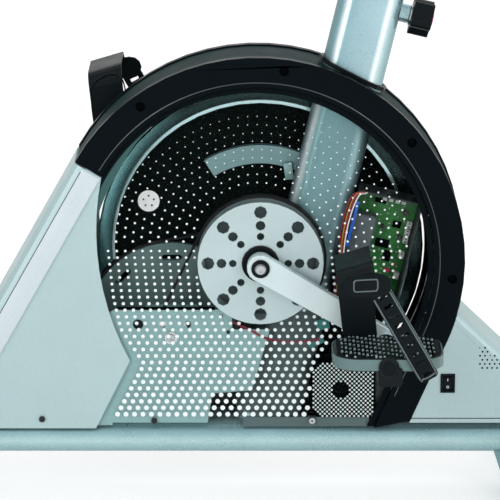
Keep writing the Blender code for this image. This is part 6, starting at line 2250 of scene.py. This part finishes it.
@dataclass
class Cockpit:
    """Front column, handlebar and console, with their grips, display, marks and welds."""

    lean: float = 5.0
    column_x: float = -0.455
    grip_length: float = 0.1
    grip_radius: float = 0.0166
    bar_radius: float = 0.0128
    console_tilt: float = -35.0
    console_rise: float = 0.062
    console_half: float = 0.021
    dial_out: float = 0.075
    dial_down: float = 0.045
    dial_ticks: int = 11
    dial_ribs: int = 28
    grip_rows: int = 25

    def build(self) -> None:
        """Dress the cockpit and add what its solids leave out."""
        dress(SILVER, "front_column")
        dress(BLACK, "handlebar", "handlebar_lever", "console_dial")
        foot = Matrix.Translation(beside_crank(self.column_x, 0, SeatColumn.rail_top))
        leaning = foot @ Matrix.Rotation(radians(self.lean), 4, "Y")
        # The column's skin wears bands of painted highlight and shade.
        add(Forms.oval_skin("column_skin", 0.075, 0.04, 0.004, 0.764, leaning), COLUMN_PAINTED_LIGHT)
        dress(GREY, "console")
        for side in Side:
            self.grip(side)
        self.display()
        self.dial_marks()
        self.console_screws()
        self.lever_bolt()
        SeatColumn().foot_weld("column_weld", beside_crank(self.column_x, 0, SeatColumn.rail_top))

    def grip(self, side: Side) -> None:
        """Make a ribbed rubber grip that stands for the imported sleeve.

        Args:
            side: the machine's side.
        """
        low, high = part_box(f"{side.word}_grip")
        middle = (Vector(low) + Vector(high)) / 2
        way = Vector((0.125, 0, 0.05)).normalized()
        half, profile = self.grip_length / 2 - 0.0006, []
        for i in range(self.grip_rows):
            along = -half + 2 * half * i / (self.grip_rows - 1)
            ridge = 0.0004 if i % 2 else -0.0006
            profile.append((self.grip_radius + ridge, along))
        outline = [(self.bar_radius, -half), *profile, (self.bar_radius, half)]
        outline[1] = (self.grip_radius - 0.001, -half)
        outline[-2] = (self.grip_radius - 0.001, half)
        piece = add(Forms.lathe(f"{side.word}_rubber_grip", outline, 36, Forms.facing(middle, way)), RUBBER, "bar")
        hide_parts(f"{side.word}_grip")

    def lever_bolt(self) -> None:
        """Bolt the clamp lever's eye."""
        low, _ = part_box("handlebar_lever")
        hub = joint_place("handlebar_lever_turn")
        stud = [Stud(Vector((hub.x, low[1] + 0.0003, hub.z)), Vector((0, -1, 0)), 0.0056, 20)]
        Small.screws("lever_bolt", Recess.SOCKET, stud, ZINC, "bar_lever")

    def axes(self) -> tuple[Vector, Vector]:
        """Return the way out of the console's face, and the way up along it."""
        tilt = radians(self.console_tilt)
        return Vector((cos(tilt), 0, -sin(tilt))), Vector((sin(tilt), 0, cos(tilt)))

    def on_console(self, across: float, up: float, out: float = 0.0) -> Vector:
        """Return a place over the console's face, from its middle.

        Args:
            across: the distance across it.
            up: the distance up it.
            out: the height over it.
        Returns:
            The place in the row frame.
        """
        normal, rise = self.axes()
        centre = joint_place("console_tilt") + Vector((0, 0, self.console_rise))
        return centre + normal * (self.console_half + out) + rise * up + Vector((0, across, 0))

    def face(self, across: float, up: float, out: float = 0.0) -> Matrix:
        """Return the matrix that lays a flat outline on the console's face, its X to the rider's right.

        Args:
            across: the distance across it.
            up: the distance up it.
            out: the height over it.
        Returns:
            The matrix.
        """
        normal, rise = self.axes()
        turned = Matrix((Vector((0, 1, 0)), rise, normal)).transposed().to_4x4()
        return Matrix.Translation(self.on_console(across, up, out)) @ turned

    def display(self) -> None:
        """Fit the dark display, its bezel and the flat pads of the keypad."""
        bezel = Forms.prism("display_bezel", Forms.rounded(0.164, 0.08, 0.008), 0.0001, 0.0012,
                            self.face(0, 0.03), 0.0006)
        add(bezel, BLACK, "display")
        screen = Forms.prism("display_screen", Forms.rounded(0.15, 0.066, 0.004), 0.0012, 0.0016,
                             self.face(0, 0.03), 0.0002)
        add(screen, SCREEN, "display")
        pads = []
        for i in range(4):
            pads.append(Forms.prism("pad", Forms.rounded(0.018, 0.013, 0.003), 0.0001, 0.0004,
                                    self.face(-0.075 + 0.026 * i, -0.045), 0.0001))
        add(Forms.joined("keypad_prints", pads), PALE_PRINT, "display")
        lines = [Forms.prism("line", [(-0.06, -0.0004), (0.06, -0.0004), (0.06, 0.0004), (-0.06, 0.0004)],
                             0.0016, 0.0017, self.face(0, up)) for up in (0.012, 0.03, 0.048)]
        add(Forms.joined("screen_rules", lines), PALE_PRINT, "display")

    def dial_marks(self) -> None:
        """Print the ticks round the dial, cut its grip ribs and mark its pointer."""
        normal, _ = self.axes()
        ticks = []
        for i in range(self.dial_ticks):
            across, up = polar(0.0215, 240 - 30 * i, (self.dial_out, -self.dial_down))
            ticks.append(Stud(self.on_console(across, up, 0.0001), normal, (0.0009, 0.0009, 0.0002)))
        Small.run("dial_ticks", Small.dot(), ticks, PALE_PRINT, "display")
        rib = Forms.block("rib_shape", (1.0, 1.0, 1.0), bevel=0.2)
        ribs = []
        for i in range(self.dial_ribs):
            across, up = polar(0.0158, 360 * i / self.dial_ribs, (self.dial_out, -self.dial_down))
            ribs.append(Stud(self.on_console(across, up, 0.0085), normal, (0.0016, 0.0016, 0.01)))
        Small.run("dial_ribs", rib, ribs, BLACK, "dial")
        pointer = Forms.prism("dial_pointer", Forms.rounded(0.0014, 0.009, 0.0006, 2), 0.0, 0.0003,
                              self.face(self.dial_out, -self.dial_down + 0.0065, 0.01635))
        add(pointer, WHITE_PRINT, "dial")

    def console_screws(self) -> None:
        """Screw the console's back shell on."""
        normal, _ = self.axes()
        studs = [Stud(self.on_console(across, up, -2 * self.console_half + 0.0004), -normal, 0.0038, 25)
                 for across in (-0.098, 0.098) for up in (-0.064, 0.064)]
        Small.screws("console_screws", Recess.CROSS, studs, SCREW_BLACK, "display")


@dataclass(frozen=True)
class Studio:
    """Pale floor, soft lamps and the photograph's camera."""

    azimuth: float = 0.0
    elevation: float = 14.5
    distance: float = 4.0
    across: float = 0.5882
    sensor: float = 36.0
    target: tuple[float, float, float] = (0.0775, -0.046, 0.3131)
    floor_half: float = 14.0
    floor_glow: float = 0.42
    shade_light: float = 0.55
    aim: tuple[float, float, float] = (0.0, 0.0, 0.4)

    def build(self) -> None:
        """Set the floor, the lamps, the world and the camera."""
        self.floor()
        self.lamps()
        self.world()
        self.camera()
        bpy.context.scene.view_settings.view_transform = "Standard"

    def shown_white(self, nodes: Nodes) -> NodeSocket:
        """Return the share of rays that see plain white: the camera's, mirrored and bent ones.

        Args:
            nodes: the world's nodes.
        Returns:
            The share's socket.
        """
        path = nodes.add("ShaderNodeLightPath").outputs
        mirrored = nodes.math("MAXIMUM", path["Is Glossy Ray"], path["Is Transmission Ray"])
        return nodes.math("MAXIMUM", path["Is Camera Ray"], mirrored)

    def floor(self) -> None:
        """Lay a pale floor that keeps the machine's shadow."""
        work = bmesh.new()
        half = self.floor_half
        corners = [work.verts.new((x, y, 0)) for x, y in ((-half, -half), (half, -half), (half, half), (-half, half))]
        work.faces.new(corners)
        mesh = bpy.data.meshes.new("floor")
        work.to_mesh(mesh)
        work.free()
        paint = bpy.data.materials.new("pale_floor")
        paint.use_nodes = True
        nodes = Nodes(paint.node_tree)
        shader = paint.node_tree.nodes["Principled BSDF"]
        shader.inputs["Roughness"].default_value = 0.9
        shader.inputs["Specular IOR Level"].default_value = 0.1
        shader.inputs["Base Color"].default_value = (0.8, 0.8, 0.8, 1)
        lift = nodes.math("MULTIPLY", self.shown_white(nodes), self.floor_glow)
        shader.inputs["Emission Color"].default_value = (1, 1, 1, 1)
        nodes.feed(shader.inputs["Emission Strength"], lift)
        mesh.materials.append(paint)
        floor = placed("floor", mesh)

    def lamps(self) -> None:
        """Hang soft lamps round the machine, with two upright strips that draw lines on its tubes."""
        wide, strip = (2.6, 2.6), (0.42, 2.6)
        plan = (("top_lamp", (0.2, 0.3, 3.4), 24.0, wide), ("front_lamp", (-1.9, -2.6, 2.3), 18.0, wide),
                ("rear_lamp", (2.4, -2.0, 1.9), 12.0, wide), ("far_lamp", (0.6, 2.8, 2.2), 14.0, wide),
                ("left_strip", (-1.55, -2.8, 1.1), 26.0, strip), ("right_strip", (1.75, -2.7, 1.1), 26.0, strip))
        for name, place, power, (across, high) in plan:
            light = bpy.data.lights.new(name, "AREA")
            light.shape = "RECTANGLE"
            light.size, light.size_y = across, high
            light.energy = power
            lamp = placed(name, light)
            lamp.location = place
            lamp.rotation_euler = (Vector(self.aim) - Vector(place)).to_track_quat("-Z", "Y").to_euler()

    def world(self) -> None:
        """Surround the machine with an even pale light."""
        world = bpy.data.worlds.new("studio_world")
        world.use_nodes = True
        bpy.context.scene.world = world
        nodes = Nodes(world.node_tree)
        back = world.node_tree.nodes["Background"]
        back.inputs["Color"].default_value = (1, 1, 1, 1)
        strength = nodes.ramp(self.shown_white(nodes), 0.0, 1.0, self.shade_light, 1.0)
        nodes.feed(back.inputs["Strength"], strength)

    def camera(self) -> None:
        """Stand the camera where the photograph was taken from."""
        turn, tilt = radians(self.azimuth), radians(self.elevation)
        away = Vector((sin(turn) * cos(tilt), -cos(turn) * cos(tilt), sin(tilt)))
        view = bpy.data.cameras.new("photo_camera")
        view.sensor_width = self.sensor
        view.lens = self.sensor * self.distance / self.across
        view.clip_start = 0.05
        view.clip_end = 60.0
        camera = placed("photo_camera", view)
        camera.location = Vector(self.target) + away * self.distance
        camera.rotation_euler = (-away).to_track_quat("-Z", "Y").to_euler()
        bpy.context.scene.camera = camera


def main() -> None:
    """Build the machine's looks, piece by piece."""
    logging.basicConfig(level=logging.INFO, format="%(message)s")
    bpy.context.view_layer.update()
    machine = (Base(), Housing(), Drive(), Pedals(), Electronics(), SeatColumn(), Saddle(), Cockpit())
    for assembly in machine:
        LOG.info("--- %s", type(assembly).__name__)
        assembly.build()
    Studio().build()


if __name__ == "__main__":
    main()
